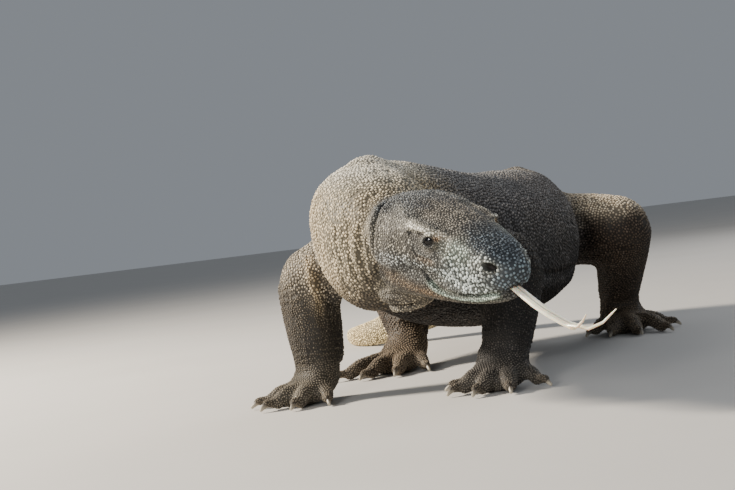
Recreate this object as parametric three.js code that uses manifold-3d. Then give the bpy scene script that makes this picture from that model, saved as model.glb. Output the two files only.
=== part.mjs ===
// A life-size Komodo dragon, walking, with its neck arched to its right and its head turned to its left.
// Millimetres, +Z up. The snout end is towards -Y, the tail towards +Y, and the animal's left side is +X.
// The body is one smooth outline parted by thin cuts into head, jaw, neck, trunk, tail and limbs.
import * as THREE from "three";
import { mergeVertices } from "three/addons/utils/BufferGeometryUtils.js";
import Module from "manifold-3d";

const wasm = await Module();
wasm.setup();

// ---------------------------------------------------------------- driving dimensions

const CAP_ROWS = 2; // rows in a domed end
const GAP = 0.4; // width of the thin cuts between neighbouring pieces
const FLOOR = 0; // height of the soles and of the underside of the tail
const UP = [0, 0, 1];
const LEFT = 1; // sign of X on the animal's left side
const RIGHT = -1;
const HEAD_AT = [104, -262, 243]; // joint of head and neck
const HEAD_TURN = 51; // degrees, to the animal's left
const HEAD_DIP = 18; // degrees, snout down
const HEAD_TILT = 8; // degrees, right cheek down
const EYE_RADIUS = 11.5;
const CLAW_LENGTH = 26;

// Body line from the head joint to the tail tip: [x, y, z, half width, height above, depth below].
const SPINE = [
  [92, -252, 244, 58, 52, 88],
  [62, -226, 256, 73, 66, 119],
  [21, -176, 264, 81, 77, 128],
  [-3, -110, 264, 86, 84, 124],
  [1, -30, 250, 94, 101, 124],
  [9, 70, 226, 109, 115, 130],
  [16, 190, 206, 130, 122, 131],
  [24, 320, 194, 146, 130, 132],
  [30, 440, 190, 148, 137, 124],
  [28, 550, 208, 124, 122, 108],
  [22, 640, 226, 96, 104, 94],
  [6, 728, 218, 78, 90, 78],
  [-44, 796, 180, 63, 76, 66],
  [-128, 838, 124, 52, 62, 56],
  [-236, 834, 70, 41, 47, 45],
  [-332, 806, 37, 29, 30, 34],
  [-404, 838, 24, 23, 23, 25],
  [-446, 906, 19, 18, 18, 20],
  [-452, 1006, 17, 16, 17, 18],
  [-428, 1122, 15, 14, 15, 16],
  [-372, 1244, 13, 12, 13, 14],
  [-314, 1352, 11, 10, 11, 12],
  [-254, 1456, 9, 8, 9, 10],
  [-196, 1548, 7, 5, 7, 8],
];
// Where the body line is parted, as the number of the point in SPINE.
const SPINE_PARTS = {
  neck: [0, 3.9],
  trunk: [3.9, 9.4],
  hips: [9.4, 11.5],
  tail_base: [11.5, 14],
  tail_middle: [14, 17.5],
  tail_tip: [17.5, 23],
};
const SPINE_FACETS = {
  neck: { sides: 20, rings: 8 },
  trunk: { sides: 20, rings: 8 },
  hips: { sides: 20, rings: 4 },
  tail_base: { sides: 16, rings: 6 },
  tail_middle: { sides: 12, rings: 8 },
  tail_tip: { sides: 8, rings: 8 },
};
// Swellings on the body line, each with its centre and half sizes: the nape and the ridge over the hips.
const SWELLINGS = {
  neck: [[2, -108, 316], [42, 66, 44]],
  hips: [[27, 640, 300], [38, 50, 38]],
};

// ---------------------------------------------------------------- shape tools

const vector = (p) => new THREE.Vector3(...p);

function solidOf(geometry) {
  const bare = geometry.index ? geometry.toNonIndexed() : geometry.clone();
  bare.deleteAttribute("normal");
  bare.deleteAttribute("uv");
  const merged = mergeVertices(bare, 1e-4);
  const vertProperties = merged.attributes.position.array;
  const triVerts = new Uint32Array(merged.index.array);
  const made = new wasm.Manifold(new wasm.Mesh({ numProp: 3, vertProperties, triVerts }));
  if (made.volume() > 0) return made;
  for (let i = 1; i < triVerts.length; i += 3) {
    [triVerts[i], triVerts[i + 1]] = [triVerts[i + 1], triVerts[i]];
  }
  return new wasm.Manifold(new wasm.Mesh({ numProp: 3, vertProperties, triVerts }));
}

function geometryOf(solid) {
  const mesh = solid.getMesh();
  return new THREE.BufferGeometry()
    .setAttribute("position", new THREE.BufferAttribute(new Float32Array(mesh.vertProperties), 3))
    .setIndex(new THREE.BufferAttribute(new Uint32Array(mesh.triVerts), 1));
}

// Rows of a tube from end to end. Each has t along the line, reach beyond the end and shrink of the girth.
function rowsOf(rings, span, dome) {
  const capOf = (d, t, sign) => {
    const count = d > 0 ? CAP_ROWS : 1;
    return Array.from({ length: count }, (_, k) => {
      const turn = ((k / count) * Math.PI) / 2;
      return { t, sign, reach: d * Math.cos(turn), shrink: Math.sin(turn) };
    });
  };
  const wall = Array.from({ length: rings + 1 }, (_, k) => {
    return { t: THREE.MathUtils.lerp(span[0], span[1], k / rings), sign: 0, reach: 0, shrink: 1 };
  });
  wall[0].sign = -1;
  wall[rings].sign = 1;
  return [...capOf(dome[0], span[0], -1), ...wall, ...capOf(dome[1], span[1], 1).reverse()];
}

// A sine or cosine pushed outward, so that a round section with full over 2 is a little square.
const squared = (value, full) => Math.sign(value) * Math.abs(value) ** (2 / full);

const smoothLine = (points) => new THREE.CatmullRomCurve3(points.map(vector), false, "catmullrom", 0.5);

// A closed tube along a smooth line of stations [x, y, z, half width, height above, depth below].
// It is a sphere whose rows are moved onto the stations. An end is domed, or cut flat where its dome is 0.
function tube(stations, options = {}) {
  const { up = UP, sides = 12, rings = 12, span = [0, 1], dome = [0.8, 0.8], full = 2, grow = 0 } = options;
  const line = smoothLine(stations.map((station) => station.slice(0, 3)));
  const girth = smoothLine(stations.map((station) => station.slice(3)));
  const rows = rowsOf(rings, span, dome);
  const geometry = new THREE.SphereGeometry(1, sides, rows.length - 1);
  rows.forEach((row, number) => {
    const size = girth.getPoint(row.t).addScalar(grow);
    const flat = dome[row.sign < 0 ? 0 : 1] === 0;
    const along = flat ? grow - GAP / 2 : row.reach * size.x;
    const tangent = line.getTangent(row.t).normalize();
    const centre = line.getPoint(row.t).addScaledVector(tangent, row.sign * along);
    const side = new THREE.Vector3().crossVectors(tangent, vector(up)).normalize();
    const top = new THREE.Vector3().crossVectors(side, tangent);
    for (let column = 0; column <= sides; column += 1) {
      const angle = (2 * Math.PI * column) / sides;
      const across = squared(Math.cos(angle), full) * row.shrink;
      const high = squared(Math.sin(angle), full) * row.shrink;
      const point = centre.clone().addScaledVector(side, across * size.x);
      point.addScaledVector(top, high * (high > 0 ? size.y : size.z));
      geometry.attributes.position.setXYZ(number * (sides + 1) + column, point.x, point.y, point.z);
    }
  });
  return solidOf(geometry);
}

// An ellipsoid with its centre and half sizes.
function bulge(at, half, sides = 8) {
  const ball = new THREE.SphereGeometry(1, sides, Math.round(sides * 0.6));
  return solidOf(ball.scale(...half).translate(...at));
}

function union(solids) {
  return solids.reduce((all, one) => all.add(one));
}

// The main body of a solid that a cut has left with slivers.
function largest(solid) {
  return solid.decompose().reduce((most, one) => (one.volume() > most.volume() ? one : most));
}

// A block below the floor, which trims the soles and the underside of the tail to flats.
const GROUND = [4000, 4000, 200];
const ground = solidOf(new THREE.BoxGeometry(...GROUND).translate(0, 600, FLOOR - GROUND[2] / 2));

// ---------------------------------------------------------------- body line

const spinePoints = SPINE.length - 1;
const spinePiece = (name, grow = 0) => {
  const [from, to] = SPINE_PARTS[name];
  const dome = [name === "neck" ? 0.4 : 0, name === "tail_tip" ? 1 : 0];
  const { sides, rings } = SPINE_FACETS[name];
  const span = [from / spinePoints, to / spinePoints];
  const stretch = tube(SPINE, { sides, rings, span, dome, full: 2.15, grow });
  if (!SWELLINGS[name]) return stretch;
  const [at, half] = SWELLINGS[name];
  return stretch.add(bulge(at, half.map((size) => size + grow), 10));
};

// ---------------------------------------------------------------- head

// Head stations run from the snout back along +Y, in the head's own frame. Its origin is the neck joint.
const UPPER_HEAD = [
  [0, -220, 6, 29, 24, 20],
  [0, -200, 8, 36, 31, 28],
  [0, -172, 9, 41, 36, 33],
  [0, -145, 10, 46, 42, 36],
  [0, -115, 11, 53, 47, 37],
  [0, -85, 11, 61, 49, 37],
  [0, -50, 9, 67, 51, 36],
  [0, -15, 5, 67, 51, 38],
  [0, 8, 0, 60, 48, 40],
];
const LOWER_JAW = [
  [0, -212, -20, 22, 8, 12],
  [0, -190, -23, 31, 10, 18],
  [0, -155, -26, 40, 12, 25],
  [0, -120, -27, 48, 16, 32],
  [0, -85, -26, 56, 22, 40],
  [0, -50, -22, 62, 30, 54],
  [0, -18, -15, 62, 34, 72],
];
// Swellings on the left of the head, repeated on the right: [x, y, z, half width, half length, half height].
const HEAD_SWELLINGS = {
  brow: [38, -106, 44, 14, 38, 11],
  jawMuscle: [48, -42, 2, 25, 42, 38],
  nostril: [19, -196, 24, 15, 20, 14],
};
const THROAT = [-10, 2, -81, 42, 46, 25]; // loose skin that hangs under the back of the jaw, as a swelling
const EYE = [43.5, -120, 31]; // centre of the left eye
const TONGUE = [
  [1, -200, -9, 6, 2.6, 2.6],
  [0, -231, -11, 6.5, 3, 3],
  [-3, -258, -15, 6.8, 3.2, 3.2],
  [-3, -284, -20, 6.8, 3.2, 3.2],
  [1, -306, -25.5, 6.5, 3, 3],
  [6, -325, -30, 6, 2.8, 2.8],
];
const TONGUE_TIPS = [
  [
    [8, -318, -28.5, 3.6, 2.4, 2.4],
    [14, -341, -29, 2.8, 2.1, 2.1],
    [24, -354, -20, 2, 1.7, 1.7],
    [34, -365, -3, 1, 1, 1],
  ],
  [
    [2, -318, -28.5, 3.6, 2.4, 2.4],
    [2, -337, -24, 2.4, 2, 2],
    [-1, -350, -12, 1.7, 1.5, 1.5],
    [-6, -362, 1, 1, 1, 1],
  ],
];

const headTurn = new THREE.Euler(...[HEAD_DIP, -HEAD_TILT, HEAD_TURN].map(THREE.MathUtils.degToRad), "ZXY");
const headPlace = new THREE.Matrix4().makeRotationFromEuler(headTurn).setPosition(...HEAD_AT);
const onHead = (solid) => solid.transform(headPlace.elements);

const eyeBall = (side, grow = 0) => {
  const radius = EYE_RADIUS + grow;
  return onHead(bulge([side * EYE[0], EYE[1], EYE[2]], [radius, radius, radius]));
};

function tongueSolid(grow = 0) {
  const blade = tube(TONGUE, { sides: 8, rings: 6, dome: [0.5, 0.6], full: 2.4, grow });
  const tips = TONGUE_TIPS.map((stations) => tube(stations, { sides: 5, rings: 3, dome: [0, 1], grow }));
  return onHead(union([blade, ...tips]));
}

function upperHeadSolid(grow = 0) {
  const parts = [tube(UPPER_HEAD, { sides: 16, rings: 8, dome: [0.62, 0.3], full: 2.5, grow })];
  for (const side of [LEFT, RIGHT]) {
    for (const [across, along, high, ...half] of Object.values(HEAD_SWELLINGS)) {
      parts.push(bulge([side * across, along, high], half.map((size) => size + grow)));
    }
  }
  return onHead(union(parts));
}

function lowerJawSolid(grow = 0) {
  const jaw = tube(LOWER_JAW, { sides: 14, rings: 6, dome: [0.62, 0.3], full: 2.2, grow });
  const [across, along, high, ...half] = THROAT;
  return onHead(jaw.add(bulge([across, along, high], half.map((size) => size + grow))));
}

// ---------------------------------------------------------------- limbs

// Each limb: root inside the trunk, elbow or knee, wrist or ankle, all [x, y, z].
// heading is how far the foot points outward from straight ahead, in degrees.
const LIMBS = {
  front_right: {
    side: RIGHT,
    names: ["upper_arm_right", "forearm_right", "hand_right"],
    joints: [[-36, -14, 232], [-165, 14, 180], [-150, -8, 56]],
    heading: 32,
    foot: "HAND",
  },
  front_left: {
    side: LEFT,
    names: ["upper_arm_left", "forearm_left", "hand_left"],
    joints: [[44, -8, 220], [157, 42, 170], [143, -12, 58]],
    heading: -12,
    foot: "HAND",
  },
  hind_right: {
    side: RIGHT,
    names: ["thigh_right", "shank_right", "foot_right"],
    joints: [[-40, 650, 212], [-192, 482, 160], [-122, 340, 60]],
    heading: 12,
    foot: "FOOT",
  },
  hind_left: {
    side: LEFT,
    names: ["thigh_left", "shank_left", "foot_left"],
    joints: [[76, 648, 202], [234, 566, 195], [188, 668, 62]],
    heading: 20,
    foot: "FOOT",
  },
};
// Girth of each stretch of a limb: [half width, half depth in front, half depth behind] from its top down.
const GIRTH = {
  HAND: {
    upper: [[52, 56, 54], [50, 54, 51], [50, 52, 50]],
    lower: [[49, 49, 49], [48, 47, 47], [45, 44, 44], [42, 40, 40]],
  },
  FOOT: {
    upper: [[62, 72, 68], [62, 70, 68], [57, 60, 58]],
    lower: [[52, 54, 52], [50, 52, 50], [44, 44, 44], [40, 38, 38]],
  },
};
// palm is the reach from the ankle to the ball of the foot, and sole its girth at three points.
// Toes: [degrees outward from the foot's heading, reach from the ankle to the toe's end, radius].
const FEET = {
  HAND: {
    palm: 54,
    sole: [[40, 34, 34], [46, 27, 27], [42, 15, 17]],
    toes: [[-58, 70, 13], [-27, 86, 14], [1, 94, 14], [28, 90, 14], [64, 74, 12.5]],
  },
  FOOT: {
    palm: 76,
    sole: [[38, 36, 36], [46, 28, 27], [42, 17, 18]],
    toes: [[-44, 92, 13], [-18, 122, 14], [3, 140, 14.5], [22, 150, 14.5], [54, 98, 13]],
  },
};

const ahead = (degrees, side) => {
  const angle = THREE.MathUtils.degToRad(side * degrees);
  return [Math.sin(angle), -Math.cos(angle)];
};
const between = (a, b, share) => a.map((value, i) => THREE.MathUtils.lerp(value, b[i], share));

// The stations of a stretch of limb between two joints, one for each row of its girth.
const stretchOf = (from, to, girth) => {
  return girth.map((sizes, number) => [...between(from, to, number / (girth.length - 1)), ...sizes]);
};

function upperLimb(limb, grow = 0) {
  const [root, bend] = limb.joints;
  return tube(stretchOf(root, bend, GIRTH[limb.foot].upper), { rings: 4, dome: [0, 0.75], grow });
}

function lowerLimb(limb, grow = 0) {
  const [, bend, end] = limb.joints;
  const stations = stretchOf(bend, end, GIRTH[limb.foot].lower);
  return tube(stations, { up: [0, -1, 0], rings: 4, dome: [0.4, 0], grow });
}

function footSolid(limb, grow = 0) {
  const { palm, sole, toes } = FEET[limb.foot];
  const [x, y, z] = limb.joints[2];
  const [dx, dy] = ahead(limb.heading, limb.side);
  const stations = [
    [x, y, z - 8, ...sole[0]],
    [x + dx * palm * 0.42, y + dy * palm * 0.42, 25, ...sole[1]],
    [x + dx * palm, y + dy * palm, 15, ...sole[2]],
  ];
  const ball = tube(stations, { up: [dx, dy, 0.6], sides: 8, rings: 3, dome: [0.5, 0.5], full: 2.3, grow });
  const fingers = toes.map((toe) => tube(toeLine(limb, toe), { sides: 6, rings: 3, dome: [0, 0.8], grow }));
  return union([ball, ...fingers]);
}

// A toe leaves the middle of the palm, arches over its knuckle and comes down to its pad.
function toeLine(limb, [degrees, reach, radius]) {
  const [x, y] = limb.joints[2];
  const [dx, dy] = ahead(limb.heading + degrees, limb.side);
  const at = (share, z, r) => [x + dx * reach * share, y + dy * reach * share, z, r, r, r];
  const knuckle = at(0.5, 24, radius * 1.05);
  return [at(0.22, 20, radius), knuckle, at(0.75, 20, radius), at(0.92, 10, radius * 0.9)];
}

// A claw starts inside the toe, curves over and ends in a point just above the floor.
function clawSolid(limb, [degrees, reach]) {
  const [x, y] = limb.joints[2];
  const [dx, dy] = ahead(limb.heading + degrees, limb.side);
  const at = (beyond, z, w, h) => [x + dx * (reach + beyond), y + dy * (reach + beyond), z, w, h, h];
  const root = [at(-7, 12, 5, 6), at(6, 14, 4.4, 5.2)];
  const hook = [at(CLAW_LENGTH * 0.6, 10, 3, 3.8), at(CLAW_LENGTH, 2.5, 1, 1.4)];
  return tube([...root, ...hook], { sides: 5, rings: 2, dome: [0, 1] });
}

// ---------------------------------------------------------------- materials

function skin(name, color, roughness = 0.75) {
  return new THREE.MeshStandardMaterial({ name, color, roughness, metalness: 0 });
}
const MATERIALS = {
  head_hide: skin("head_hide", 0x6f7470),
  body_hide: skin("body_hide", 0x5d544b),
  limb_hide: skin("limb_hide", 0x64564a),
  tail_hide: skin("tail_hide", 0x8a7a62),
  claw: skin("claw", 0x3a3630, 0.4),
  eye: skin("eye", 0x17120d, 0.08),
  tongue: skin("tongue", 0xe2cfae, 0.35),
};

// ---------------------------------------------------------------- assembly

const dragon = new THREE.Group();

function addPiece(name, solid, material) {
  const mesh = new THREE.Mesh(geometryOf(solid), MATERIALS[material]);
  mesh.name = name;
  dragon.add(mesh);
}

const upperHead = upperHeadSolid();
const tongueRoom = tongueSolid(GAP);
const headRoom = upperHeadSolid(GAP).add(lowerJawSolid(GAP));
const eyeRoom = eyeBall(LEFT, GAP).add(eyeBall(RIGHT, GAP));
addPiece("head", upperHead.subtract(tongueRoom).subtract(eyeRoom), "head_hide");
const jaw = lowerJawSolid().subtract(upperHeadSolid(GAP)).subtract(tongueRoom);
addPiece("lower_jaw", largest(jaw), "head_hide");
addPiece("eye_left", eyeBall(LEFT), "eye");
addPiece("eye_right", eyeBall(RIGHT), "eye");
addPiece("tongue", tongueSolid(), "tongue");

for (const name of Object.keys(SPINE_PARTS)) {
  const piece = spinePiece(name).subtract(ground);
  const material = name.startsWith("tail") ? "tail_hide" : "body_hide";
  addPiece(name, name === "neck" ? piece.subtract(headRoom) : piece, material);
}

const bodyRoom = union(["neck", "trunk", "hips", "tail_base"].map((name) => spinePiece(name, GAP)));
for (const limb of Object.values(LIMBS)) {
  const [upperName, lowerName, footName] = limb.names;
  const upper = upperLimb(limb).subtract(bodyRoom);
  const lower = lowerLimb(limb).subtract(upperLimb(limb, GAP)).subtract(bodyRoom);
  const foot = footSolid(limb).subtract(lowerLimb(limb, GAP)).subtract(ground);
  addPiece(upperName, largest(upper), "limb_hide");
  addPiece(lowerName, largest(lower), "limb_hide");
  addPiece(footName, largest(foot), "limb_hide");
  const footRoom = footSolid(limb, GAP);
  FEET[limb.foot].toes.forEach((toe, number) => {
    const claw = clawSolid(limb, toe).subtract(footRoom);
    addPiece(`claw_${footName}_${number + 1}`, largest(claw), "claw");
  });
}

// The part's origin is the middle of the underside of its box.
const box = new THREE.Box3().setFromObject(dragon);
const middle = box.getCenter(new THREE.Vector3());
dragon.position.set(-middle.x, -middle.y, -box.min.z);

const part = new THREE.Group();
part.add(dragon);
export default part;
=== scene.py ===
# %% [markdown]
# # A Komodo dragon, life size
# This is a museum model of a Komodo dragon in mid stride, tongue out. The solids that carry its shape and
# weight are already made. Here the animal gets its hide: one skin without a seam, the folds and lids that
# a living head has, glossy eyes, a moist forked tongue, horn claws, and a coat of small round scales.
# The frame comes first.

import math
import time

import bmesh
import bpy
import numpy as np
from mathutils import Matrix, Vector, noise
from mathutils.bvhtree import BVHTree


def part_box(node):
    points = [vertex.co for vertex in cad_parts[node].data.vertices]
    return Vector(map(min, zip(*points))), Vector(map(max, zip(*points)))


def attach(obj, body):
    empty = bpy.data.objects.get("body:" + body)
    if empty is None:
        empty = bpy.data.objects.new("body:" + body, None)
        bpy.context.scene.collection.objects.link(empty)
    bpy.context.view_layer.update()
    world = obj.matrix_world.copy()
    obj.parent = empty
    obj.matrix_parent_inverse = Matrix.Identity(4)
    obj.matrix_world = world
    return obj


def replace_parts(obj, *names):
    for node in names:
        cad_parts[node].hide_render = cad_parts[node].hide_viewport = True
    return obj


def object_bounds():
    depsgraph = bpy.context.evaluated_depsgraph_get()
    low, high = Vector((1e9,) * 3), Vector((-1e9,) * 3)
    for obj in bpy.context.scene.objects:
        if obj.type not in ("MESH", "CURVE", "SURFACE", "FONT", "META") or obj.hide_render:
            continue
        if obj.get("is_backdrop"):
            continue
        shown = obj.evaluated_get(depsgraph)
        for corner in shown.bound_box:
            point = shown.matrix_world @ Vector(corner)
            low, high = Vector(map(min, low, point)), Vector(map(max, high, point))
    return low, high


started = time.time()
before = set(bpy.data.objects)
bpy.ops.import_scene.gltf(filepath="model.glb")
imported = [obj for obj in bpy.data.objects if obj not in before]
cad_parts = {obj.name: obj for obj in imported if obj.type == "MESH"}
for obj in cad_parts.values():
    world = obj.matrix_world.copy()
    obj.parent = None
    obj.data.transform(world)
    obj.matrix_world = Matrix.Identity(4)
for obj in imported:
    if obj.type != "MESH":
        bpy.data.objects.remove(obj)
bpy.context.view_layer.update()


def clock():
    """Seconds since the start, for the progress lines."""
    return f"{time.time() - started:.1f} s"


# %% [markdown]
# ## Two frames to think in
# A sculptor measures an animal in millimetres from its own floor line, and a head from its own neck joint,
# because a muzzle is easy to describe along its own length. So all shaping is done in millimetres. The body
# frame has the dragon facing -Y with its left side on +X, and the head frame is turned with the head.
# The left eye is known in both, and it is a node of the frame, so it ties the workshop to the solids.

# %% Body frame and head frame
MM = 0.001
LEFT = 1
RIGHT = -1
HEAD_AT = np.array([104.0, -262.0, 243.0])
HEAD_TURN = 51
HEAD_DIP = 18
HEAD_TILT = -8
EYE = np.array([43.5, -120.0, 31.0])
EYE_RADIUS = 11.5


def turn(degrees, axis):
    return Matrix.Rotation(math.radians(degrees), 3, axis)


head_axes = np.array(turn(HEAD_TURN, "Z") @ turn(HEAD_DIP, "X") @ turn(HEAD_TILT, "Y"))


def from_head(points):
    """Head millimetres to body millimetres."""
    return np.asarray(points, float) @ head_axes.T + HEAD_AT


def to_head(points):
    """Body millimetres to head millimetres."""
    return (np.asarray(points, float) - HEAD_AT) @ head_axes


eye_box = np.array(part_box("eye_left"))
frame_shift = eye_box.mean(axis=0) / MM - from_head(EYE)
workshop_to_frame = Matrix.Scale(MM, 4) @ Matrix.Translation(Vector(frame_shift))
print("body frame starts at", frame_shift.round(1), "mm, eye", np.ptp(eye_box, axis=0).round(4), "m")

# %% [markdown]
# ## The camera
# The dragon comes towards a low camera that is almost level and leans to one side. A long lens keeps the big
# head and the far thigh in proportion. The camera is set before anything is shaped, so that every choice of
# detail can be judged from where the animal is seen.

# %% Camera
CAMERA_AT = np.array([688.0, -1992.0, 257.0])
CAMERA_TURN = 20.4
CAMERA_DIP = 0.8
CAMERA_ROLL = -7.2
LENS_MM = 69.0

camera_data = bpy.data.cameras.new("camera")
camera_data.lens = LENS_MM
camera_data.clip_start = 0.05
camera_data.clip_end = 60
camera = bpy.data.objects.new("camera", camera_data)
bpy.context.scene.collection.objects.link(camera)
aim = turn(CAMERA_TURN, "Z") @ turn(90 - CAMERA_DIP, "X") @ turn(CAMERA_ROLL, "Z")
camera.matrix_world = Matrix.Translation(workshop_to_frame @ Vector(CAMERA_AT)) @ aim.to_4x4()
bpy.context.scene.camera = camera
print("camera at", [round(v, 3) for v in camera.location], "lens", LENS_MM)

# %% [markdown]
# ## One skin over all the flesh
# The solids meet in flat cuts, as a model kit does. A living hide has no joints, so copies of the solids are
# swollen by half a millimetre until they overlap, and a voxel remesh melts them into one closed surface.
# The eyes go in too, a little larger, because the lids lie over them like cloth over a ball. Three balls of
# flesh go over the root of each claw, so that the toe closes round it. Sculpting one mesh by hand would be
# the other way, but this keeps the skin on the solids.

# %% Melt copies of the solids into one mesh
SIDES = {"left": LEFT, "right": RIGHT}
BODY_NODES = ["neck", "trunk", "hips", "tail_base", "tail_middle", "tail_tip"]
LIMB_NODES = [f"{part}_{side}" for part in ("upper_arm", "forearm", "thigh", "shank") for side in SIDES]
PAW_NODES = [f"{part}_{side}" for part in ("hand", "foot") for side in SIDES]
FLESH = ["head", "lower_jaw"] + BODY_NODES + LIMB_NODES + PAW_NODES
EYE_NODES = ["eye_left", "eye_right"]
CLAW_NODES = [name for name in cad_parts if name.startswith("claw_")]
SWELL = 0.5
LID_THICKNESS = 1.5
VOXEL = 3.0


def workshop_copy(node, swell=0.0):
    """A merged copy of a solid in body millimetres, swollen along its normals."""
    bm = bmesh.new()
    bm.from_mesh(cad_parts[node].data)
    bmesh.ops.remove_doubles(bm, verts=bm.verts, dist=1e-6)
    bmesh.ops.transform(bm, matrix=workshop_to_frame.inverted(), verts=bm.verts)
    bm.normal_update()
    for vert in bm.verts:
        vert.co += vert.normal * swell
    return bm


def mesh_of(bm, name):
    """A mesh datablock from a bmesh, which is freed."""
    mesh = bpy.data.meshes.new(name)
    bm.to_mesh(mesh)
    bm.free()
    return mesh


def evaluated(mesh, **settings):
    """The mesh after one modifier: type, then its settings."""
    obj = bpy.data.objects.new("bench", mesh)
    bpy.context.scene.collection.objects.link(obj)
    modifier = obj.modifiers.new("step", settings.pop("type"))
    for key, value in settings.items():
        setattr(modifier, key, value)
    depsgraph = bpy.context.evaluated_depsgraph_get()
    made = bpy.data.meshes.new_from_object(obj.evaluated_get(depsgraph))
    bpy.data.objects.remove(obj)
    return made


def claw_ends(node):
    """The point of a claw and the far end of its root, in body millimetres."""
    bm = workshop_copy(node)
    spots = np.array([vert.co for vert in bm.verts])
    bm.free()
    point = spots[spots[:, 2].argmin()]
    return spots[np.linalg.norm((spots - point)[:, :2], axis=1).argmax()], point


# share of the way along the claw, height and radius
TOE_BALLS = [(0.20, 12.4, 9.0), (0.40, 12.4, 8.2), (0.56, 11.0, 7.0)]
claw_line = {node: claw_ends(node) for node in CLAW_NODES}
swells = {name: SWELL for name in FLESH} | {name: LID_THICKNESS for name in EYE_NODES}
whole = bmesh.new()
for root, point in claw_line.values():
    for share, height, radius in TOE_BALLS:
        middle = root + share * (point - root)
        place = Matrix.Translation((middle[0], middle[1], height))
        bmesh.ops.create_icosphere(whole, subdivisions=2, radius=radius, matrix=place)
for name, swell in swells.items():
    piece = mesh_of(workshop_copy(name, swell), name)
    whole.from_mesh(piece)
    bpy.data.meshes.remove(piece)
skin_mesh = evaluated(mesh_of(whole, "melted"), type="REMESH", mode="VOXEL", voxel_size=VOXEL)
print("melted skin:", len(skin_mesh.vertices), "points", clock())

# %% [markdown]
# ## Which part is this point on?
# Later steps ask often: smoothing is gentle on toes and strong on the belly, and scales are small on the
# muzzle. The nearest solid answers, so all of them are put in one search tree that knows whose each face is.

# %% Search tree over the solids
owner_names = FLESH + EYE_NODES + CLAW_NODES
owner_verts = []
owner_faces = []
owner_of_face = []
for number, name in enumerate(owner_names):
    bm = workshop_copy(name)
    base = len(owner_verts)
    owner_verts += [vert.co.copy() for vert in bm.verts]
    owner_faces += [[base + vert.index for vert in face.verts] for face in bm.faces]
    owner_of_face += [number] * len(bm.faces)
    bm.free()
solid_tree = BVHTree.FromPolygons(owner_verts, owner_faces)


def owners(points):
    """The number of the nearest solid for each point."""
    return np.array([owner_of_face[solid_tree.find_nearest(Vector(p))[2]] for p in points])


def owned_by(found, names):
    """Which of the found owners are one of these names."""
    return np.isin(found, [owner_names.index(name) for name in names])


# %% Arrays in and out of a mesh
def points_of(mesh):
    flat = np.empty(len(mesh.vertices) * 3)
    mesh.vertices.foreach_get("co", flat)
    return flat.reshape(-1, 3)


def normals_of(mesh):
    flat = np.empty(len(mesh.vertices) * 3)
    mesh.vertex_normals.foreach_get("vector", flat)
    return flat.reshape(-1, 3)


def put_points(mesh, points):
    mesh.vertices.foreach_set("co", np.asarray(points, float).ravel())
    mesh.update()


def edges_of(mesh):
    flat = np.empty(len(mesh.edges) * 2, dtype=np.int64)
    mesh.edges.foreach_get("vertices", flat)
    return flat.reshape(-1, 2)


def shade_smooth(mesh):
    mesh.polygons.foreach_set("use_smooth", np.ones(len(mesh.polygons), dtype=bool))


def paint_points(mesh, name, colours):
    """A colour attribute on the points, from one row of red, green and blue each."""
    layer = mesh.color_attributes.new(name, "FLOAT_COLOR", "POINT")
    layer.data.foreach_set("color", np.column_stack([colours, np.ones(len(colours))]).ravel())


def edge_counts(edges, size):
    """How many edges meet at each point."""
    return np.bincount(edges.ravel(), minlength=size).astype(float)


def neighbour_mean(values, edges, degree):
    """The mean of the neighbours of each vertex, for an array with one row to each vertex."""
    start, end = edges.T
    mean = np.empty_like(values)
    for column in range(values.shape[1]):
        mean[:, column] = np.bincount(start, values[end, column], len(values))
        mean[:, column] += np.bincount(end, values[start, column], len(values))
    return mean / degree[:, None]


# %% [markdown]
# ## Smooth flesh, crisp toes
# The melted skin still shows the flat facets of the solids. Each vertex is drawn towards the mean of its
# neighbours many times over. How strongly is a matter of anatomy: a wide belly can lose every edge, while a
# toe would shrink to a stick. So each part has its own softness, and the softness is blurred at borders.

# %% Smooth the skin
JOINTS = {
    "front_right": [(-36, -14, 232), (-165, 14, 180), (-150, -8, 56)],
    "front_left": [(44, -8, 220), (157, 42, 170), (143, -12, 58)],
    "hind_right": [(-40, 650, 212), (-192, 482, 160), (-122, 340, 60)],
    "hind_left": [(76, 648, 202), (234, 566, 195), (188, 668, 62)],
}
HEADINGS = {"front_right": 32, "front_left": -12, "hind_right": 12, "hind_left": 20}
LIMBS = {
    name: {"side": SIDES[name.split("_")[1]], "joints": joints, "heading": HEADINGS[name]}
    for name, joints in JOINTS.items()
}
SMOOTH_ROUNDS = 70
BORDER_ROUNDS = 12
ANKLE_REACH = 52
ANKLE_SOFTNESS = 11.0
THROAT = (-10, 2, -84)
THROAT_REACH = 58
THROAT_SOFTNESS = 4.5
SOFTNESS = {
    "head": 5.0,
    "lower_jaw": 5.5,
    "neck": 11.0,
    "trunk": 15.0,
    "hips": 14.0,
    "tail_base": 9.0,
    "tail_middle": 6.0,
    "tail_tip": 4.0,
    "upper_arm": 11.0,
    "forearm": 8.0,
    "thigh": 12.0,
    "shank": 8.0,
    "hand": 4.5,
    "foot": 4.5,
    "eye": 2.0,
    "claw": 3.0,
}


def stem(name):
    """A node's name without its side: upper_arm_left becomes upper_arm."""
    if name.startswith("claw_"):
        return "claw"
    return name.replace("_left", "").replace("_right", "")


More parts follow.
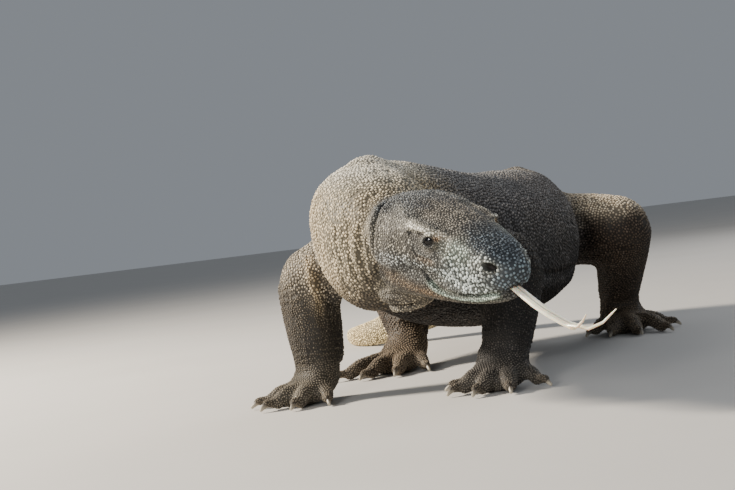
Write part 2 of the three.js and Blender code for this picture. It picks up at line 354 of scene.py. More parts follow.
skin_points = points_of(skin_mesh)
skin_edges = edges_of(skin_mesh)
skin_degree = edge_counts(skin_edges, len(skin_points))
softness_list = np.array([SOFTNESS[stem(name)] for name in owner_names])
softness = softness_list[owners(skin_points)][:, None]
for limb in LIMBS.values():
    by_ankle = np.linalg.norm(skin_points - limb["joints"][2], axis=1) < ANKLE_REACH
    softness[by_ankle] = np.maximum(softness[by_ankle], ANKLE_SOFTNESS)
by_throat = np.linalg.norm(to_head(skin_points) - THROAT, axis=1) < THROAT_REACH
softness[by_throat] = np.minimum(softness[by_throat], THROAT_SOFTNESS)
for _ in range(BORDER_ROUNDS):
    softness = neighbour_mean(softness, skin_edges, skin_degree)
step_share = np.clip(2 * softness**2 / (SMOOTH_ROUNDS * VOXEL**2), 0, 0.75)
for _ in range(SMOOTH_ROUNDS):
    skin_points += step_share * (neighbour_mean(skin_points, skin_edges, skin_degree) - skin_points)
put_points(skin_mesh, skin_points)
print("smoothed:", clock())

# %% [markdown]
# ## Finer mesh where the face is finest
# Lids, nostrils and lips need edges well under a millimetre or two, but the flank doesn't. Subdividing only
# the faces near those features, once or twice, puts the points where the detail is.

# %% Refine the face
MOUTH_LINE = [(0, -238, -8), (10, -230, -7), (18, -214, -16), (27, -188, -25), (34, -165, -30)]
MOUTH_LINE += [(39, -150, -31), (43, -131, -29), (44, -117, -24), (48, -105, -14), (51, -97, -5)]
NOSTRIL = np.array([27.4, -215.5, 19.0])
NOSTRIL_HALF = (8.4, 4.3)
NOSTRIL_ALONG = np.array([-0.587, -0.786, -0.195])
NOSTRIL_ACROSS = np.array([0.360, -0.037, -0.933])
GULAR_FOLD = [(-30, 34, -106), (-39, 4, -96), (-39, -14, -91), (-29, -31, -88), (-16, -39, -85)]
CHEEK_FOLD = [(28, 4, 55), (47, -9, 47), (60, -18, 30), (68, -24, 6)]
CHEEK_FOLD += [(67, -19, -14), (61, -8, -34), (50, 6, -52)]


def smooth_path(points, count=60):
    """Points along a smooth line through the given ones, evenly spread."""
    given = np.asarray(points, float)
    if len(given) == 2:
        return given[0] + np.linspace(0, 1, count)[:, None] * (given[1] - given[0])
    padded = np.vstack([2 * given[0] - given[1], given, 2 * given[-1] - given[-2]])
    pieces = []
    for a, b, c, d in zip(padded, padded[1:], padded[2:], padded[3:]):
        t = np.linspace(0, 1, 16, endpoint=False)[:, None]
        curve = (2 * a - 5 * b + 4 * c - d) * t**2 + (3 * b - a - 3 * c + d) * t**3
        pieces.append(0.5 * (2 * b + (c - a) * t + curve))
    line = np.vstack(pieces + [given[-1:]])
    walked = np.r_[0, np.cumsum(np.linalg.norm(np.diff(line, axis=0), axis=1))]
    even = np.linspace(0, walked[-1], count)
    return np.column_stack([np.interp(even, walked, line[:, axis]) for axis in range(3)])


def near_line(points, line):
    """Distance from each point to a line of points, and how far along the line that is, from 0 to 1."""
    nearest = np.full(len(points), 1e9)
    along = np.zeros(len(points))
    for number, (start, end) in enumerate(zip(line[:-1], line[1:])):
        step = end - start
        share = np.clip((points - start) @ step / max(step @ step, 1e-9), 0, 1)
        gap = np.linalg.norm(points - start - share[:, None] * step, axis=1)
        closer = gap < nearest
        nearest[closer] = gap[closer]
        along[closer] = (number + share[closer]) / (len(line) - 1)
    return nearest, along


def mirrored(points, side):
    return np.asarray(points, float) * (side, 1, 1)


def fold_head(body_points):
    """Head millimetres with the right half laid over the left."""
    head = to_head(body_points)
    head[:, 0] = np.abs(head[:, 0])
    return head


def nostril_oval(folded):
    """How many times the size of the nostril's oval each point of the folded head is away from its middle."""
    local = folded - NOSTRIL
    oval = np.hypot(local @ NOSTRIL_ALONG / NOSTRIL_HALF[0], local @ NOSTRIL_ACROSS / NOSTRIL_HALF[1])
    return oval + 9 * (np.linalg.norm(local, axis=1) > 22)


def face_detail(points, reach):
    """True for body points within reach of an eye, a nostril, the mouth or a fold of the head."""
    found = np.zeros(len(points), bool)
    near = np.flatnonzero(np.abs(to_head(points) - (0, -110, 0)).max(axis=1) < 170)
    folded = fold_head(points[near])
    eye_gap = np.linalg.norm(folded - EYE, axis=1)
    nostril_gap = np.linalg.norm(folded - NOSTRIL, axis=1)
    mouth_gap = near_line(folded, smooth_path(MOUTH_LINE, 24))[0]
    fold_gap = near_line(folded, smooth_path(CHEEK_FOLD, 16))[0]
    throat_gap = near_line(folded, smooth_path(mirrored(GULAR_FOLD, RIGHT), 16))[0]
    found[near] = (eye_gap < reach * 2.4) | (nostril_gap < reach * 1.4) | (mouth_gap < reach * 0.8)
    found[near] |= (fold_gap < reach * 0.7) | (throat_gap < reach * 1.2)
    return found


def refine(mesh, reach):
    """Cuts every face near the face's details into four."""
    wanted = face_detail(points_of(mesh), reach)
    bm = bmesh.new()
    bm.from_mesh(mesh)
    bm.verts.ensure_lookup_table()
    edges = [edge for edge in bm.edges if wanted[edge.verts[0].index] and wanted[edge.verts[1].index]]
    bmesh.ops.subdivide_edges(bm, edges=edges, cuts=1, use_grid_fill=True, smooth=0.0)
    bm.to_mesh(mesh)
    bm.free()


refine(skin_mesh, 10.0)
refine(skin_mesh, 7.5)
print("refined:", len(skin_mesh.vertices), "points", clock())

# %% [markdown]
# ## Sculpting with strokes
# Each fold is one stroke: a smooth line, a width and a height, as a thumb or a loop tool would draw it in
# clay. A stroke first snaps its line onto the skin, so its points only have to be roughly right. Then it
# lifts or sinks the skin along its normals, and most strokes fade out at both ends. On the head, nearly all
# of them are drawn on both sides.

# %% Stroke tools
skin_points = points_of(skin_mesh)
skin_normals = normals_of(skin_mesh)
skin_bm = bmesh.new()
skin_bm.from_mesh(skin_mesh)
skin_tree = BVHTree.FromBMesh(skin_bm)
skin_bm.free()
rise = np.zeros(len(skin_points))


def snapped(line):
    return np.array([skin_tree.find_nearest(Vector(point))[0] for point in line])


def stroke(path, width, height, fade=0.15):
    """Raises the skin by height along a path, or sinks it, within about a width of it."""
    line = snapped(smooth_path(path, 30))
    low = line.min(axis=0) - 3 * width
    high = line.max(axis=0) + 3 * width
    near = np.flatnonzero(((skin_points > low) & (skin_points < high)).all(axis=1))
    gap, along = near_line(skin_points[near], line)
    ends = np.clip(np.minimum(along, 1 - along) / fade, 0, 1) if fade else 1.0
    rise[near] += height * np.exp(-((gap / width) ** 2)) * ends


def head_stroke(path, width, height, fade=0.15):
    for side in (LEFT, RIGHT):
        stroke(from_head(mirrored(path, side)), width, height, fade)


def shifted(path, offset):
    return np.asarray(path, float) + offset


# %% Folds of the head
BROW_CREST = [(50, -80, 44), (52, -90, 43.5), (52, -103, 44), (51, -118, 44)]
BROW_CREST += [(48, -127, 42.5), (43, -135, 40), (37, -144, 36.5)]
BROW_SHADE = [(53, -82, 35), (51, -92, 34.5), (50, -104, 35.5), (49, -116, 37.5)]
EYE_CREASES = [
    [(56, -96, 25), (57, -98, 19), (57, -99, 12), (54, -110, 7.5), (50, -122, 6), (46, -131, 8)],
    [(42, -138, 27), (43, -135, 22), (45, -131, 16)],
]
EYE_POUCH = [(56, -95, 24), (56, -100, 17), (54, -110, 12), (50, -121, 11), (47, -130, 14), (45, -136, 21)]
head_stroke(CHEEK_FOLD, 2.8, -8.5)
head_stroke(shifted(CHEEK_FOLD, (0, 9, 0)), 5.0, 3.4)
head_stroke(shifted(CHEEK_FOLD, (0, -9, 0)), 7.0, 2.6)
head_stroke([(36, -37, 54), (42, -58, 51), (46, -76, 47)], 5.0, 1.8)
stroke(from_head(mirrored(BROW_CREST, RIGHT)), 3.8, 4.0)
stroke(from_head(mirrored(BROW_CREST, LEFT)), 10.0, -2.0)
head_stroke([(32, -74, 57), (36, -98, 56), (36, -122, 55), (34, -140, 52)], 9.0, -4.5)
head_stroke(BROW_SHADE, 2.8, -3.4)
head_stroke([(38, -146, 40), (33, -172, 34), (28, -196, 30)], 8.0, 1.8)
head_stroke([(47, -150, 14), (42, -172, 10), (38, -192, 8)], 12.0, -2.4)
for crease, depth in zip(EYE_CREASES, (-3.2, -2.8)):
    head_stroke(crease, 2.2, depth)
head_stroke(EYE_POUCH, 3.0, 1.6)
head_stroke(MOUTH_LINE, 1.7, -5.2, fade=0.2)
head_stroke(shifted(MOUTH_LINE, (0, 0, 6)), 4.0, 1.4)
head_stroke(shifted(MOUTH_LINE, (0, 0, -5.5)), 3.6, 2.2)
head_stroke(shifted(MOUTH_LINE, (0, 2, -13)), 2.6, -2.0)
head_stroke([(56, -88, -8), (60, -70, -18), (58, -50, -30)], 5.0, -2.0)
head_stroke([(20, -20, 57), (16, -70, 58), (12, -130, 54)], 14.0, -1.6)
head_stroke(GULAR_FOLD, 3.4, -8.5)
head_stroke(shifted(GULAR_FOLD, (0, 0, -8)), 4.4, 4.6)
for step in (9, 18, 27):
    head_stroke(shifted(GULAR_FOLD[1:], (-3, 0, step)), 1.9, -2.2)

# %% Nostrils
oval = nostril_oval(fold_head(skin_points))
rise += 1.3 * np.exp(-(((oval - 1.35) / 0.35) ** 2)) - 8.0 * np.exp(-((oval / 0.9) ** 4))

# %% [markdown]
# ## Folds of the neck, the flank and the limbs
# A walking monitor is a loose bag over hard muscle: the skin gathers behind the jaw, under the throat, at the
# armpit and in a long crease low on the flank. Joints bend it into rings. Large folds are strokes. The rings
# come from one formula that knows each limb's axis, and fine crumpling is noise stretched across the body.

# %% Folds of the body
NECK_CREASES = [
    [(-61, 24, 22), (-62, 25, 4), (-62, 24, -12), (-62, 23, -28), (-59, 23, -46)]
    + [(-51, 24, -70), (-40, 24, -92)],
    [(-66, 44, 16), (-69, 46, -2), (-69, 46, -19), (-69, 43, -35), (-66, 41, -52), (-58, 40, -78)],
    [(-58, 12, -50), (-52, 16, -66), (-42, 16, -84), (-30, 14, -98)],
    [(-70, 70, 10), (-74, 70, -14), (-73, 66, -34), (-70, 62, -56)],
]
NECK_RIDGES = [
    [(-58, 10, 16), (-58, 14, 0), (-58, 15, -24), (-56, 15, -42), (-50, 18, -66)],
    [(-63, 34, 20), (-65, 33, 4), (-65, 32, -8), (-66, 31, -27), (-62, 31, -46)],
]
ARMPIT_FLAP = [(-137, -34, 216), (-134, -42, 198), (-133, -42, 180), (-131, -38, 160), (-128, -32, 142)]
ARMPIT_HOLLOW = [(-122, -42, 196), (-118, -40, 176), (-114, -26, 156), (-110, -10, 146)]
for path, depth in zip(NECK_CREASES, (-4.4, -3.6, -3.6, -2.2)):
    head_stroke(path, 3.4, depth)
for path in NECK_RIDGES:
    head_stroke(path, 3.6, 2.6)
stroke([(96, -262, 322), (80, -226, 330), (58, -190, 336)], 6.0, -2.0)
stroke(ARMPIT_FLAP, 8.0, 6.5, fade=0.3)
stroke(ARMPIT_HOLLOW, 7.0, -6.5)
SPINE_X = 24
FLANK_CREASE = [(124, 200, 140), (140, 290, 132), (146, 380, 132), (134, 470, 148)]
for side in (LEFT, RIGHT):
    crease = [(SPINE_X + side * out, y, z) for out, y, z in FLANK_CREASE]
    stroke(crease, 7.0, -5.5)
    stroke(shifted(crease, (0, 0, -28)), 18.0, 3.5)
    for lengthwise, reach in ((90, 104), (122, 112), (156, 120), (505, 124), (540, 120)):
        hoop = [(-12, -6, 262), (0, 0, 214), (-2, 6, 172), (-20, 8, 128)]
        hoop = [(SPINE_X + side * (reach + x), lengthwise + y, z) for x, y, z in hoop]
        stroke(hoop, 7.0, -3.0)


def ring_folds(start, end, span, pitch, depth, reach=90):
    """Rings round a limb between two shares of the way from start to end."""
    start = np.asarray(start, float)
    axis = np.asarray(end, float) - start
    length = np.linalg.norm(axis)
    axis /= length
    offset = skin_points - start
    along = offset @ axis
    out = np.linalg.norm(offset - along[:, None] * axis, axis=1)
    near = np.flatnonzero((out < reach) & (along > span[0] * length) & (along < span[1] * length))
    wobble = np.array([noise.noise(Vector(p) * 0.03) for p in skin_points[near]])
    fade = np.sin(np.pi * (along[near] / length - span[0]) / (span[1] - span[0]))
    phase = np.pi * (along[near] + 9 * wobble) / pitch
    rise[near] -= depth * fade * (1 - np.abs(np.sin(phase))) ** 2 * (0.6 + 0.8 * np.abs(wobble))


for side, (x, y, z) in ((RIGHT, (0, 0, 0)), (LEFT, (-8, 4, -2))):
    inner = np.array([(-114, -6, 122), (-110, -8, 104), (-109, -11, 86), (-110, -14, 72)]) - (x, y, z)
    stroke(mirrored(inner, -side), 15.0, -6.5, fade=0)
    notch = np.array([(-121, -24, 52), (-119, -12, 52), (-120, 4, 54)]) - (x, y, z)
    stroke(mirrored(notch, -side), 9.0, 3.0, fade=0)
for limb in LIMBS.values():
    root, bend, end = limb["joints"]
    ring_folds(bend, end, (0.62, 1.2), 8.0, 1.7)
    ring_folds(bend, end, (-0.1, 0.4), 11.0, 2.4)
    ring_folds(root, bend, (0.5, 0.95), 13.0, 2.6)

# %% Fine crumpling
skin_owner = owners(skin_points)
on_head = owned_by(skin_owner, ["head", "lower_jaw"] + EYE_NODES)
on_paw = owned_by(skin_owner, PAW_NODES + CLAW_NODES)
stretch = np.tile([1 / 55, 1 / 15, 1 / 55], (len(skin_points), 1))
stretch[owned_by(skin_owner, ["forearm_left", "forearm_right"])] = (1 / 10, 1 / 10, 1 / 46)
crumple = np.zeros(len(skin_points))
for number in np.flatnonzero(~on_head & ~on_paw):
    crumple[number] = abs(noise.noise(Vector(skin_points[number] * stretch[number])))
amount = np.where(owned_by(skin_owner, ["neck"]), 6.5, 4.0)
amount[owned_by(skin_owner, LIMB_NODES)] = 2.4
amount[owned_by(skin_owner, ["tail_middle", "tail_tip"])] = 1.6
rise -= amount * np.maximum(0.28 - crumple, 0) * ~(on_head | on_paw)
put_points(skin_mesh, skin_points + rise[:, None] * skin_normals)
print("folds from", round(rise.min(), 1), "to", round(rise.max(), 1), "mm", clock())

# %% [markdown]
# ## Lids over the eyes
# The lids are the same skin, lying over the ball like a cloth. Close to the eye every point is put on a shell
# just outside the ball, and an almond in front of the pupil is pushed in behind the ball's surface, so that
# the ball shows through a real opening with thick rims. Rings of small wrinkles run round it.

# %% Lids
GAZE = np.array([0.77, -0.59, 0.24])
GAZE /= np.linalg.norm(GAZE)
GAZE_UP = np.array([0.0, 0.0, 1.0]) - GAZE[2] * GAZE
GAZE_UP /= np.linalg.norm(GAZE_UP)
GAZE_AHEAD = np.cross(GAZE, GAZE_UP) * -1
LID_SHELL = 13.1
BEHIND_BALL = 8.6
OPENING = (27.0, 24.0)


def smooth_step(value, low, high):
    """0 below low, 1 above high and an even slope between."""
    share = np.clip((value - low) / (high - low), 0, 1)
    return share * share * (3 - 2 * share)


def gaze_angle(unit):
    """Degrees from the gaze for directions out of the eye, and how far out of the opening: 1 at its rim."""
    angle = np.degrees(np.arccos(np.clip(unit @ GAZE, -1, 1)))
    sine = np.maximum(np.sin(np.radians(angle)), 1e-6)
    forward = angle * (unit @ GAZE_AHEAD) / sine
    upward = angle * (unit @ GAZE_UP) / sine
    return angle, np.sqrt((forward / OPENING[0]) ** 2 + (upward / OPENING[1]) ** 2)


def shape_lids(points, side):
    """Points with those near one eye moved onto its lids."""
    local = mirrored(to_head(points), side) - EYE
    radius = np.linalg.norm(local, axis=1)
    near = np.flatnonzero((radius < 30) & (local @ GAZE > 0))
    unit = local[near] / radius[near, None]
    angle, almond = gaze_angle(unit)
    rim = 0.7 * np.exp(-(((almond - 1.12) / 0.1) ** 2))
    rings = 0.45 * np.cos(2 * math.pi * (almond - 1.12) / 0.3) * smooth_step(almond, 1.2, 1.4)
    shell = LID_SHELL + rim + rings * (1 - smooth_step(almond, 2.0, 2.6))
    target = BEHIND_BALL + (shell - BEHIND_BALL) * smooth_step(almond, 0.93, 1.06)
    under_brow = np.clip(unit @ GAZE_UP, 0, 1)
    hold = 1 - smooth_step(angle, 52 - 18 * under_brow, 80 - 30 * under_brow)
    new_radius = radius[near] + hold * (target - radius[near])
    moved = points.copy()
    moved[near] = from_head(mirrored(EYE + unit * new_radius[:, None], side))
    return moved


skin_points = points_of(skin_mesh)
for side in (LEFT, RIGHT):
    skin_points = shape_lids(skin_points, side)
put_points(skin_mesh, skin_points)

# %% [markdown]
# ## The finished skin
# The coat of scales is a millimetre or so thick, so the skin is drawn in by that much and the solids' outline
# ends up at the scales' tops. A collapse decimation then takes faces out of flat stretches and leaves them in
# the folds, because what an edge costs there is how far the surface would move.

# %% Draw the skin in and thin it out
COAT = 1.2
SKIN_FACES = 188000
normals = normals_of(skin_mesh)
put_points(skin_mesh, points_of(skin_mesh) - (COAT + SWELL) * normals)
for side in (LEFT, RIGHT):
    put_points(skin_mesh, shape_lids(points_of(skin_mesh), side))
dense_faces = sum(len(polygon.vertices) - 2 for polygon in skin_mesh.polygons)
thin = {"ratio": SKIN_FACES / dense_faces, "use_collapse_triangulate": True}
skin_mesh = evaluated(skin_mesh, type="DECIMATE", decimate_type="COLLAPSE", **thin)
print("skin:", dense_faces, "faces thinned to", len(skin_mesh.polygons), clock())

# %% [markdown]
# ## Lines that everything follows
# Scales run in rings round the body and along each limb and toe, so the coat needs the lines inside the
# animal: one through the head, one down the spine to the tail tip, one in each limb and one in each toe. A
# point's line also gives it a place on an unrolled hide: how far along the line it is, and how far round.

# %% Lines inside the animal
SPINE = [(92, -252, 244), (62, -226, 256), (21, -176, 264), (-3, -110, 264), (1, -30, 250)]
SPINE += [(9, 70, 226), (16, 190, 206), (24, 320, 194), (30, 440, 190), (28, 550, 208), (22, 640, 226)]
SPINE += [(6, 728, 218), (-44, 796, 180), (-128, 838, 124), (-236, 834, 70), (-332, 806, 37)]
SPINE += [(-404, 838, 24), (-446, 906, 19), (-452, 1006, 17), (-428, 1122, 15), (-372, 1244, 13)]
SPINE += [(-314, 1352, 11), (-254, 1456, 9), (-196, 1548, 7)]
HEAD_AXIS = [(0, 12, 2), (0, -100, 4), (0, -232, 2)]
LIMB_PARTS = {"front": ("upper_arm", "forearm", "hand"), "hind": ("thigh", "shank", "foot")}
LINE_POINTS = 60
TOES = {
    "hand": [(-58, 70), (-27, 86), (1, 94), (28, 90), (64, 74)],
    "foot": [(-44, 92), (-18, 122), (3, 140), (22, 150), (54, 98)],
}
TOE_END_HEIGHT = 11
TOE_OVER_CLAW = 18


def toe_line(limb, degrees, reach):
    """From the ankle over the knuckle to the toe's end."""
    x, y, _ = limb["joints"][2]
    angle = math.radians(limb["side"] * (limb["heading"] + degrees))
    ahead = np.array([math.sin(angle), -math.cos(angle), 0])
    knuckles = [(0.22, 20), (0.5, 22), (0.75, 19), (0.95, 12)]
    path = [np.array([x, y, z]) + ahead * reach * share for share, z in knuckles]
    return path + [np.array([x, y, TOE_END_HEIGHT]) + ahead * (reach + TOE_OVER_CLAW)]


lines = {
    "head": {"path": from_head(HEAD_AXIS), "owners": ["head", "lower_jaw"] + EYE_NODES},
    "spine": {"path": SPINE, "owners": BODY_NODES},
}
for name, limb in LIMBS.items():
    place, side = name.split("_")
    upper, lower, paw = LIMB_PARTS[place]
    root, bend, end = limb["joints"]
    limb_owners = [f"{upper}_{side}", f"{lower}_{side}"]
    lines[f"{name}_limb"] = {"path": [root, np.add(root, bend) / 2, bend, end], "owners": limb_owners}
    for toe, (degrees, reach) in enumerate(TOES[paw]):
        path = toe_line(limb, degrees, reach)
        if toe == 2:
            path = [np.array(end)] + path
        toe_owners = [f"{paw}_{side}", f"claw_{paw}_{side}_{toe + 1}"]
        lines[f"{name}_toe_{toe + 1}"] = {"path": path, "owners": toe_owners}
for line in lines.values():
    line["points"] = smooth_path(line["path"], LINE_POINTS)
    line["length"] = np.linalg.norm(np.diff(line["points"], axis=0), axis=1).sum()
    line["tangents"] = np.gradient(line["points"], axis=0)
    line["tangents"] /= np.linalg.norm(line["tangents"], axis=1)[:, None]
print(len(lines), "lines,", round(sum(line["length"] for line in lines.values())), "mm in all")

# %% Every point's line, its lie and its place on the unrolled hide
line_names = list(lines)


def along_line(line, at):
    """Points between the line's own points, for places counted in those points."""
    low = np.asarray(at).astype(int)
    step = line["points"][np.minimum(low + 1, LINE_POINTS - 1)] - line["points"][low]
    return line["points"][low] + (at - low)[..., None] * step, line["tangents"][low]


def place_on_lines(points, found_owners):
    """Each point's line, its share of the way along, the line's direction there and its angle round."""
    number = np.zeros(len(points), int)
    gap = np.full(len(points), 1e9)
    along = np.zeros(len(points))
    for index, line in enumerate(lines.values()):
        mine = np.flatnonzero(owned_by(found_owners, line["owners"]))
        if not len(mine):
            continue
        distance, share = near_line(points[mine], line["points"])
        closer = distance < gap[mine]
        chosen = mine[closer]
        number[chosen] = index
        gap[chosen] = distance[closer]
        along[chosen] = share[closer]
    direction = np.zeros_like(points)
    angle = np.zeros(len(points))
    for index, line in enumerate(lines.values()):
        mine = np.flatnonzero(number == index)
        centre, tangent = along_line(line, along[mine] * (LINE_POINTS - 1))
        beside = np.cross(tangent, (0, 0, 1.0))
        beside[np.linalg.norm(beside, axis=1) < 0.35] = (1, 0, 0)
        beside /= np.linalg.norm(beside, axis=1)[:, None]
        over = np.cross(beside, tangent)
        offset = points[mine] - centre
        direction[mine] = tangent
        turned = np.arctan2((offset * beside).sum(axis=1), -(offset * over).sum(axis=1))
        angle[mine] = turned / (2 * math.pi) + 0.5
    return number, along, direction, angle


points = points_of(skin_mesh)
normals = normals_of(skin_mesh)
found = owners(points)
line_of, _, lie_of, _ = place_on_lines(points, found)
lie_of[line_of == line_names.index("head")] *= -1
skin_edges = edges_of(skin_mesh)
skin_degree = edge_counts(skin_edges, len(points))
for _ in range(10):
    lie_of = neighbour_mean(lie_of, skin_edges, skin_degree)
print("lines found for", len(points), "points", clock())

# %% [markdown]
# ## How large is a scale here?
# The pitch is the distance from one scale to the next. A Komodo dragon's beads are about five or six
# millimetres on the back, a little larger under the belly, and shrink towards the face, the tail's end and
# the toes. The pitch is set by part and blurred along the skin so that it never jumps. Then it is tightened
# on the face.

# %% Pitch over the skin
PITCH = {
    "head": 3.4,
    "lower_jaw": 3.5,
    "neck": 4.2,
    "trunk": 5.6,
    "hips": 5.6,
    "tail_base": 5.4,
    "tail_middle": 4.6,
    "tail_tip": 3.7,
    "upper_arm": 4.9,
    "forearm": 3.4,
    "thigh": 5.2,
    "shank": 4.5,
    "hand": 3.5,
    "foot": 4.0,
    "eye": 2.2,
    "claw": 3.2,
}
STRETCH = {"trunk": 1.25, "hips": 1.2, "tail": 1.35, "upper_arm": 1.1, "thigh": 1.15, "forearm": 1.15}
STRETCH |= {"shank": 0.95, "hand": 0.8, "foot": 0.8}


def table_over_skin(table, fallback, rounds):
    """Values by part, blurred over the skin. A part is looked up whole, then by its first word."""
    values = []
    for name in owner_names:
        key = stem(name)
        values.append(table.get(key, table.get(key.split("_")[0], fallback)))
    field = np.array(values)[found][:, None]
    for _ in range(rounds):
        field = neighbour_mean(field, skin_edges, skin_degree)
    return field[:, 0]


pitch_of = table_over_skin(PITCH, 5.0, 14)
stretch_of = table_over_skin(STRETCH, 1.0, 10)
folded = fold_head(points)
face = owned_by(found, ["head", "lower_jaw"] + EYE_NODES)
eye_gap = np.linalg.norm(folded - EYE, axis=1)
mouth_gap, _ = near_line(folded, smooth_path(MOUTH_LINE, 24))
nostril_gap = np.linalg.norm(folded - NOSTRIL, axis=1)
white_beads = smooth_step(-folded[:, 1], 105, 150) * (1 - smooth_step(folded[:, 2], 18, 34))
face_pitch = 3.1 + 1.4 * white_beads
brow_gap, _ = near_line(folded, smooth_path(BROW_CREST, 24))
face_pitch = np.minimum(face_pitch, 2.1 + 2.2 * smooth_step(eye_gap, 14, 32))
face_pitch = np.minimum(face_pitch, 4.1 + 0.8 * smooth_step(nostril_gap, 9, 20))
lip_height = np.interp(-folded[:, 1], [95, 131, 196, 238], [-3, -26, -21, -8])
off_lower_lip = smooth_step(mouth_gap, 7, 12) + smooth_step(folded[:, 2] - lip_height, 0, 2)
face_pitch = np.minimum(face_pitch, 2.8 + 2.3 * np.clip(off_lower_lip, 0, 1))
face_pitch = np.maximum(face_pitch, 3.9 * np.exp(-((brow_gap / 7) ** 2)))
pitch_of[face] = face_pitch[face]
belly = owned_by(found, BODY_NODES) & (normals[:, 2] < -0.55)
pitch_of[belly] *= 1.12
for _ in range(3):
    pitch_of = neighbour_mean(pitch_of[:, None], skin_edges, skin_degree)[:, 0]
print("pitch from", round(pitch_of.min(), 1), "to", round(pitch_of.max(), 1), "mm")

# %% Read the skin anywhere
skin_faces = np.empty(len(skin_mesh.polygons) * 3, dtype=np.int64)
skin_mesh.polygons.foreach_get("vertices", skin_faces)
skin_faces = skin_faces.reshape(-1, 3)
skin_bm = bmesh.new()
skin_bm.from_mesh(skin_mesh)
skin_tree = BVHTree.FromBMesh(skin_bm)
skin_bm.free()


def onto_skin(roots):
    """The nearest places on the skin, the face of each and its weights at that face's corners."""
    hits = [skin_tree.find_nearest(Vector(root)) for root in roots]
    places = np.array([hit[0] for hit in hits])
    face = np.array([hit[2] for hit in hits])
    a, b, c = (points[skin_faces[face, corner]] for corner in range(3))
    whole_area = np.cross(b - a, c - a)
    scale = np.maximum((whole_area**2).sum(axis=1), 1e-12)
    share_b = (np.cross(places - a, c - a) * whole_area).sum(axis=1) / scale
    share_c = (np.cross(b - a, places - a) * whole_area).sum(axis=1) / scale
    return places, face, np.column_stack([1 - share_b - share_c, share_b, share_c])


def read(field, face, weights):
    corners = field[skin_faces[face]]
    if field.ndim == 1:
        return (corners * weights).sum(axis=1)
    return (corners * weights[:, :, None]).sum(axis=1)


# %% [markdown]
# ## Where the scales root
# Rows first: from each line a fan of rays finds the skin all round. Roots are set along that ring one pitch
# apart, half a pitch over in every second row, as bricks are laid. Where rings crowd or cross at a shoulder,
# roots that are too close to an earlier one are dropped. Bare patches are filled from the skin's own points,
# and a few rounds of gentle pushing even the distances out. The random numbers come from one seeded source.

# %% Rows of roots round each line
rng = np.random.default_rng(11)
RAYS = 56
RAY_REACH = 260
ROW_STEP = 0.87
LOOSENESS = {"head": 0.36, "lower_jaw": 0.30, "neck": 0.30, "trunk": 0.14, "hips": 0.14, "tail": 0.10}
LOOSENESS |= {"hand": 0.10, "foot": 0.10, "forearm": 0.26, "upper_arm": 0.2, "shank": 0.16}


def ring_of_roots(centre, tangent, shift):
    """Roots on the ring that the skin makes round a line's point, and the ring's mean pitch."""
    beside = np.cross(tangent, (0, 0, 1.0))
    if np.linalg.norm(beside) < 0.35:
        beside = np.array([1.0, 0, 0])
    beside /= np.linalg.norm(beside)
    over = np.cross(beside, tangent)
    hits = []
    faces = []
    for angle in np.linspace(0, 2 * math.pi, RAYS, endpoint=False):
        ray = beside * math.sin(angle) - over * math.cos(angle)
        hit, _, face, _ = skin_tree.ray_cast(Vector(centre), Vector(ray), RAY_REACH)
        if hit is not None:
            hits.append(hit)
            faces.append(face)
    if len(hits) < RAYS // 2:
        return np.empty((0, 3)), 5.0
    ring = np.array(hits + hits[:1])
    corner = skin_faces[np.array(faces + faces[:1]), 0]
    across = pitch_of[corner] / np.sqrt(stretch_of[corner])
    steps = np.linalg.norm(np.diff(ring, axis=0), axis=1) / ((across[1:] + across[:-1]) / 2)
    walked = np.r_[0, np.cumsum(steps)]
    count = max(int(round(walked[-1])), 3)
    places = (np.arange(count) + shift) % count * walked[-1] / count
    roots = np.column_stack([np.interp(places, walked, ring[:, axis]) for axis in range(3)])
    return roots, float((pitch_of[corner] * np.sqrt(stretch_of[corner])).mean())


row_roots = []
row_lines = []
for index, (name, line) in enumerate(lines.items()):
    travelled = 1.0
    shift = 0.0
    while travelled < line["length"]:
        centre, tangent = along_line(line, travelled / line["length"] * (LINE_POINTS - 1))
        roots, pitch = ring_of_roots(centre, tangent, shift)
        row_roots.append(roots)
        row_lines += [index] * len(roots)
        travelled += pitch * ROW_STEP
        shift = 0.5 - shift
candidates = np.vstack(row_roots)
candidate_line = np.array(row_lines)
places, face, weights = onto_skin(candidates)
near_owner = owners(places)
own = np.zeros(len(places), bool)
for index, line in enumerate(lines.values()):
    own |= (candidate_line == index) & owned_by(near_owner, line["owners"])
loose = read(table_over_skin(LOOSENESS, 0.10, 10), face, weights) * read(pitch_of, face, weights)
candidates = (places + rng.normal(size=places.shape) * loose[:, None])[own]
fills = points[rng.permutation(len(points))]
print(len(candidates), "roots in rows,", len(fills), "to fill from", clock())

# %% Thin the roots and even them out
ROW_GAP = 0.70
FILL_GAP = 0.80
RELAX_ROUNDS = 6
RELAX_REACH = 1.15
RELAX_GAP = 1.02
PUSH = 0.28


def close_pairs(places, reach):
    """Pairs of places nearer than reach, found in a grid of cells of that size."""
    cells = np.floor(places / reach).astype(np.int64)
    cells -= cells.min(axis=0) - 1
    size = cells.max(axis=0) + 2
    key = (cells[:, 0] * size[1] + cells[:, 1]) * size[2] + cells[:, 2]
    order = np.argsort(key, kind="stable")
    sorted_key = key[order]
    firsts = []
    seconds = []
    offsets = [(x, y, z) for x in (-1, 0, 1) for y in (-1, 0, 1) for z in (-1, 0, 1)]
    for offset in offsets[13:]:
        other = key + (offset[0] * size[1] + offset[1]) * size[2] + offset[2]
        low = np.searchsorted(sorted_key, other, "left")
        count = np.searchsorted(sorted_key, other, "right") - low
        for step in range(count.max()):
            one = np.flatnonzero(count > step)
            two = order[low[one] + step]
            if offset == (0, 0, 0):
                one, two = one[one < two], two[one < two]
            close = ((places[one] - places[two]) ** 2).sum(axis=1) < reach**2
            firsts.append(one[close])
            seconds.append(two[close])
    return np.concatenate(firsts), np.concatenate(seconds)


